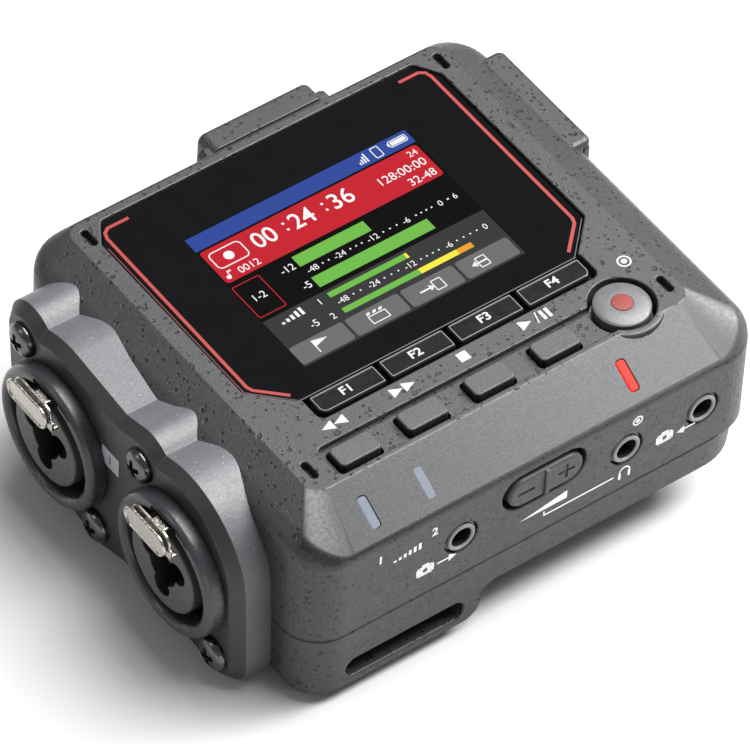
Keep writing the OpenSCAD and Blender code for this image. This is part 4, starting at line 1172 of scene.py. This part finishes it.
def socket_insert(i, y):
    """The round insert with its merged opening for both kinds of plug."""
    front = PANEL_X - 2.9
    body = blocks((disc(y, SOCKET_Z, 7.75), rounded(PANEL_X + 16, front, 0, 0.35, 4), SIDE),
        name=f"socket_disc_{i}")
    spots = [(y + 4.0 * math.cos(math.radians(a)), SOCKET_Z + 4.0 * math.sin(math.radians(a)))
             for a in (155, 270, 25)]
    centre_cut = blocks((disc(y, SOCKET_Z, 3.3), flare(PANEL_X + 14, front, 0.2), SIDE))
    side_cut = blocks(*[(disc(u, v, 1.9), flare(PANEL_X + 12, front, 0.2), SIDE) for u, v in spots])
    carve(body, centre_cut, side_cut)
    with reopened(body.data) as bm:
        solid(bm, disc(y, SOCKET_Z, 9.6), rounded(PANEL_X + 20, PANEL_X + 16, 0, 0.2, 2), SIDE)
    # painted shade: the walls and floor of the plug openings take the near-black colour
    for face in body.data.polygons:
        c = face.center
        opening_shade = math.hypot(c.y - y, c.z - SOCKET_Z) < 7 and face.normal.x > -0.3
        face.material_index = 1 if opening_shade else 0
    adopt(body, [insert_grey, shade_and_ink_black], slot="insert_plastic", stands_for=f"socket_insert_{i}")
    bm = bmesh.new()
    for u, v in spots:
        lathe(bm, [(0.75, -9.0), (1.0, -9.0), (1.0, -3.0), (0.9, -2.9), (0.75, -3.0), (0.75, -9.0)],
              toward_left(PANEL_X, u, v), 20)
    finish_piece(bm, f"socket_sleeves_{i}", brass, slot="brass")
    # painted shade: a near-black ring set behind the gap round the insert
    gap_shade = blocks((disc(y, SOCKET_Z, 9.55), [(0, PANEL_X + 9.5), (0, PANEL_X + 9.0)], SIDE),
        name=f"socket_gap_shade_{i}")
    carve(gap_shade, blocks((disc(y, SOCKET_Z, 7.85), [(0, PANEL_X + 12), (0, PANEL_X + 6)], SIDE)))
    adopt(gap_shade, shade_and_ink_black, slot="insert_plastic")


def latch(i, y):
    """Stamped nickel thumb plate in front of a second layer that runs back into the socket."""
    z = SOCKET_Z + 10.4
    low, high = span(f"latch_{i}")
    front, back = low.x, high.x
    bm = bmesh.new()
    rim = [(-0.25, 0.5), (0, 0.4), (0, 0.14), (-0.1, 0.02), (-0.28, 0.0), (-0.42, 0.1),
           (-0.5, 0.22), (-0.8, 0.24)]
    solid(bm, [(y - 3.1, z - 0.1, 2.0), (y + 3.1, z - 0.1, 2.0)],
          [(grow, front + depth) for grow, depth in rim], SIDE)
    solid(bm, [(y - 3.1, z + 0.2, 1.9), (y + 2.6, z + 0.2, 1.9)],
          rounded(front + 1.5, front + 1.05, 0.12, 0.16, 3), SIDE)
    for y0, y1, z0, z1, x0, x1 in ((y - 1.6, y + 1.6, z + 0.2, z + 0.8, 0.3, 1.2),
            (y - 1.5, y + 1.5, z - 0.85, z - 0.15, 1.3, back - front),
            (y - 5.3, y - 3.9, z - 2.1, z - 0.4, 1.05, 1.5), (y - 5.3, y - 4.1, z - 2.1, z - 1.6, 1.1,
            2.4)):
        solid(bm, rounded_rect(y0, y1, z0, z1, 0.2), rounded(front + x0, front + x1, 0.1, 0.1, 2),
              SIDE)
    finish_piece(bm, f"latch_plate_{i}", nickel, body=f"latch_{i}", slot="latch_nickel",
                 stands_for=f"latch_{i}", crease=40)


def panel_screws():
    bm = bmesh.new()
    dome = [(2.9 * math.cos(a), 0.35 + 1.35 * math.sin(a))
            for a in [math.pi / 2 * k / 8 for k in range(9)]]
    for y, z in LUG_AT:
        lathe(bm, [(0, -0.2), (2.8, -0.2), (2.9, 0.0)] + dome[:-1] + [(0, 1.7)],
              toward_left(PANEL_X, y, z), 40)
    heads = to_object(bm, "panel_screw_heads")
    # the cross is two slots, cut one after the other
    slots = [blocks(*[(rounded_rect(-1.5, 1.5, -0.42, 0.42, 0.2), [(-0.25, 0.5), (0, 1.3), (0.12, 3)],
        TOP, toward_left(PANEL_X, y, z) @ Matrix.Rotation(math.radians(angle), 4, "Z")) for y,
        z in LUG_AT]) for angle in (20, 110)]
    carve(heads, *slots)
    adopt(heads, screw_dark, slot="screw_black", stands_for="input_screws")


for number, middle in enumerate(SOCKET_Y, 1):
    socket_shell(number, middle)
    socket_insert(number, middle)
    latch(number, middle)
panel_screws()

# --- printed marks


def triangle(bm, x, y, w, h, way, z, plane=TOP):
    points = [(x - way * w / 2, y - h / 2), (x + way * w / 2, y), (x - way * w / 2, y + h / 2)]
    flat_shape(bm, points if way > 0 else points[::-1], z, plane)


WALL_FACE = FRONT_Y - 0.015


def wall_bar(bm, x0, x1, z0, z1):
    bar(bm, x0, x1, z0, z1, WALL_FACE, 0, FRONT, thick=-0.02)


def camera_sign(bm, x, z, w):
    """A plain camera picture: body, hump and a lens ring left open."""
    h = w * 0.62
    frame_line(bm, rounded_rect(x, x + w, z, z + h, 0.3), w * 0.19, WALL_FACE, FRONT, thick=-0.02)
    wall_bar(bm, x + w * 0.3, x + w * 0.7, z + h, z + h + w * 0.12)
    ring = disc(x + w / 2, z + h / 2, w * 0.24)
    for corner_x in (x + w * 0.17, x + w * 0.73):
        wall_bar(bm, corner_x, corner_x + w * 0.1, z + 0.2, z + h - 0.2)
    frame_line(bm, ring, w * 0.1, WALL_FACE, FRONT, thick=-0.02)


def top_marks():
    z = TOP_Z + 0.03
    y = -27.0
    bm = bmesh.new()
    for x in (-24.9, -22.7):
        triangle(bm, x, y, 2.1, 1.9, -1, z)
    for x in (-12.3, -10.1):
        triangle(bm, x, y, 2.1, 1.9, 1, z)
    bar(bm, -1.0, 0.8, y - 0.9, y + 0.9, z)
    triangle(bm, 11.4, y, 2.1, 2.0, 1, z)
    flat_shape(bm, [(13.1, y - 1.0), (13.35, y - 1.0), (13.95, y + 1.1), (13.7, y + 1.1)], z)
    for x in (14.6, 15.6):
        bar(bm, x - 0.28, x + 0.28, y - 0.95, y + 0.95, z)
    # record sign above the record key
    frame_line(bm, disc(31.2, -25.2, 1.15), 0.3, z)
    flat_shape(bm, outline(disc(31.2, -25.2, 0.5)), z)
    finish_piece(bm, "top_marks", legend_white, crease=20)


def front_marks():
    bm = bmesh.new()
    for text, x in (("1", -28.8), ("2", -18.9)):
        lettering(bm, text, x, 26.2, 1.6, WALL_FACE, FRONT, align="CENTER", heavy=0.05)
    for i in range(6):
        wall_bar(bm, -26.3 + i * 0.9, -25.8 + i * 0.9, 24.7, 25.1 + i * 0.2)
    camera_sign(bm, -21.9, 18.2, 3.2)
    camera_sign(bm, 22.5, 19.3, 3.2)
    # plug in and plug out arrows beside the camera signs
    for x, z, way in ((-16.5, 19.2, 1), (28.3, 19.9, -1)):
        wall_bar(bm, x - 1.6, x + 1.6, z - 0.14, z + 0.14)
        triangle(bm, x + way * 1.2, z, 1.4, 1.5, way, WALL_FACE, FRONT)
    # level wedge under the rocker, with a line to the headphone sign
    flat_shape(bm, [(-2.9, 18.5), (5.9, 18.5), (5.9, 20.1)], WALL_FACE, FRONT, thick=-0.02)
    wall_bar(bm, 1.6, 1.85, 17.1, 18.0)
    wall_bar(bm, 1.6, 14.7, 17.0, 17.3)
    frame_line(bm, disc(18.5, 27.6, 0.95), 0.26, WALL_FACE, FRONT, thick=-0.02)
    flat_shape(bm, outline(disc(18.5, 27.6, 0.4)), WALL_FACE, FRONT, thick=-0.02)
    # headphone sign: band and two cups
    middle, low = 16.8, 16.5
    for k in range(14):
        a0, a1 = math.pi * k / 14, math.pi * (k + 1) / 14
        ring = [(middle + r * math.cos(a), low + 0.7 + r * math.sin(a) * 1.15)
                for r, a in ((0.85, a0), (1.1, a0), (1.1, a1), (0.85, a1))]
        flat_shape(bm, ring, WALL_FACE, FRONT, thick=-0.02)
    for s in (-1, 1):
        wall_bar(bm, middle + s * 0.9 - 0.22, middle + s * 0.9 + 0.22, low - 0.5, low + 0.75)
    finish_piece(bm, "front_marks", wall_white, crease=20)
    bm = bmesh.new()
    bar(bm, -6.9, -2.6, 20.6, 24.2, PANEL_X - 0.02, 0.2, SIDE, thick=-0.04)
    finish_piece(bm, "channel_patch", label_grey, slot="panel_plastic", crease=20)
    bm = bmesh.new()
    lettering(bm, "1", 4.7, 21.5, 1.7, 0, lambda u, v, w: (PANEL_X - 0.05 + w * 0.2, -u, v),
              align="CENTER")
    finish_piece(bm, "channel_figure", shade_and_ink_black, slot="panel_plastic", crease=20)


top_marks()
front_marks()

# --- right, back and underside


def side_pieces():
    low, high = span("power_knob")
    y, z = (low.y + high.y) / 2, (low.z + high.z) / 2
    bm = bmesh.new()
    solid(bm, rounded_rect(y - 3, y + 3, z - 1.9, z + 1.9, 0.9),
          rounded(RIGHT_X + 0.2, RIGHT_X + 1.35, 0.1, 0.3), SIDE)
    for i in (-1, 0, 1):
        solid(bm, rounded_rect(y + i * 1.5 - 0.3, y + i * 1.5 + 0.3, z - 1.4, z + 1.4, 0.2),
              rounded(RIGHT_X + 1.2, RIGHT_X + 1.6, 0, 0.15, 2), SIDE)
    box_into(bm, RIGHT_X - 2.3, RIGHT_X + 0.3, y - 2.4, y + 2.4, z - 1.2, z + 1.2)
    box_into(bm, RIGHT_X - 2.7, RIGHT_X - 2.1, y - 3.4, y + 3.4, z - 2.2, z + 2.2)
    finish_piece(bm, "power_slider", key_grey, body="power_knob", slot="key_matte",
        stands_for="power_knob")

    low, high = span("card_door")
    bm = bmesh.new()
    solid(bm, rounded_rect(low.y + 1.4, high.y - 1.4, 16.1, high.z, 1.3),
          rounded(RIGHT_X + 0.3, high.x, 0.1, 0.7, 5), SIDE)
    box_into(bm, RIGHT_X + 0.55, RIGHT_X + 1.35, low.y + 2.6, high.y - 2.6, 15.1, 16.3)
    pin(bm, 0.6, high.y - low.y - 2.8, toward_front(RIGHT_X + 0.95, high.y - 1.4, 15.2))
    finish_piece(bm, "card_flap", casing_grey, body="card_door", stands_for="card_door")

    low, high = span("link_cover")
    bm = bmesh.new()
    solid(bm, rounded_rect(low.x, high.x, low.z, high.z - 0.6, 1.3),
          rounded(BACK_Y + 0.3, BACK_Y + 3, 0.2, 0.7, 4), FRONT)
    solid(bm, rounded_rect(low.x + 1.6, high.x - 1.6, low.z + 1, high.z, 1.6),
          rounded(BACK_Y + 0.9, high.y, 0.2, 0.9, 5), FRONT)
    finish_piece(bm, "link_cap", casing_grey, body="link_cover", stands_for="link_cover")

    bm = bmesh.new()
    solid(bm, rounded_rect(DOOR_X[0], DOOR_X[1], DOOR_Y[0], DOOR_Y[1] - 0.2, 0.8),
          rounded(UNDER_Z, UNDER_Z + 1.4, 0.3, 0.1, 3))
    for i in range(5):
        solid(bm, rounded_rect(12, 23.6, DOOR_Y[0] + 4 + i * 1.6, DOOR_Y[0] + 4.8 + i * 1.6, 0.35),
              rounded(UNDER_Z - 0.35, UNDER_Z + 0.3, 0.25, 0, 3))
    for r, reach in ((0.75, 0.0), (0.45, 1.2)):
        pin(bm, r, DOOR_X[1] - DOOR_X[0] + 2 * reach,
            upward(DOOR_X[0] - reach, DOOR_Y[1], UNDER_Z + 0.8) @ Matrix.Rotation(math.pi / 2, 4, "Y"))
    finish_piece(bm, "battery_lid", casing_grey, body="battery_door", stands_for="battery_door")


side_pieces()

# CAD nodes that stay as they are, by their finish
KEPT = (
    (foam, "screen_gasket"), (film, "screen_ribbon"), (cell_blue, "batteries"),
    (tray_black, "screen_module battery_tray"), (board_green, "input_board main_board"),
    (ivory, "indicator_leds board_link link_connector"), (brass, "socket_contacts tripod_insert"),
    (port_metal, "rocker_switches key_switches power_switch usb_port card_slot video_in_port "
                 "video_out_port"),
    (nickel, "battery_springs battery_plates"), (rubber, "feet"), (screw_dark, "case_screws"),
)
for look, nodes in KEPT:
    for node in nodes.split():
        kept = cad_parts[node]
        kept.data.materials.clear()
        kept.data.materials.append(look)
        for face in kept.data.polygons:
            face.material_index = 0

# --- stage, light and camera


def stage():
    low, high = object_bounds()
    half, floor = 3.0, low.z - 0.0002
    mesh = bpy.data.meshes.new("floor")
    mesh.from_pydata([(x * half, y * half, floor) for x, y in ((-1, -1), (1, -1), (1, 1), (-1, 1))],
        [], [(0, 1, 2, 3)])
    obj = bpy.data.objects.new("floor", mesh)
    bpy.context.scene.collection.objects.link(obj)
    pale, paler = (0.56,) * 3, (0.58,) * 3
    look = Look("floor_pale", pale, 0.9)
    look.colour(look.mix(look.ramp(look.noise(0.01, 2), 0.3, 0.7), pale, paler))
    mesh.materials.append(look.material)
    obj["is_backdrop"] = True


def soft_light(name, place, size, power):
    """A soft box that faces the middle of the object."""
    lamp = bpy.data.lights.new(name, "AREA")
    lamp.shape = "RECTANGLE"
    lamp.size, lamp.size_y = size
    lamp.energy = power
    obj = bpy.data.objects.new(name, lamp)
    obj.location = place
    obj.rotation_mode = "QUATERNION"
    obj.rotation_quaternion = (Vector((0, 0, 0.02)) - Vector(place)).to_track_quat("-Z", "Y")
    bpy.context.scene.collection.objects.link(obj)


def lights_and_camera():
    scene = bpy.context.scene
    world = bpy.data.worlds.new("studio")
    world.use_nodes = True
    sky = world.node_tree.nodes["Background"].inputs
    sky["Color"].default_value = (1, 1, 1, 1)
    sky["Strength"].default_value = 0.26
    scene.world = world
    scene.view_settings.view_transform = "Standard"
    soft_light("overhead", (0.5, -0.02, 0.95), (0.9, 1.1), 36.0)
    soft_light("right_sheen", (0.32, -0.12, 0.32), (0.12, 0.12), 1.1)
    soft_light("left_edge", (-0.75, 0.35, 0.5), (0.12, 0.5), 0.9)
    soft_light("front_edge", (-0.35, -0.75, 0.12), (0.5, 0.12), 0.6)

    camera = bpy.data.cameras.new("camera")
    camera.lens = 382.14
    camera.sensor_width = 36.0
    camera.clip_start, camera.clip_end = 0.05, 20
    obj = bpy.data.objects.new("camera", camera)
    right = Vector((0.80465, -0.59237, 0.04044))
    up = Vector((0.41910, 0.61489, 0.66803))
    back = -Vector((0.42059, 0.52059, -0.74303))
    spin = Matrix((right, up, back)).transposed().to_4x4()
    eye = Vector((-505.46, -632.08, 869.88 + TOP_Z)) * MM + ORIGIN
    obj.matrix_world = Matrix.Translation(eye) @ spin
    scene.collection.objects.link(obj)
    scene.camera = obj


stage()
lights_and_camera()
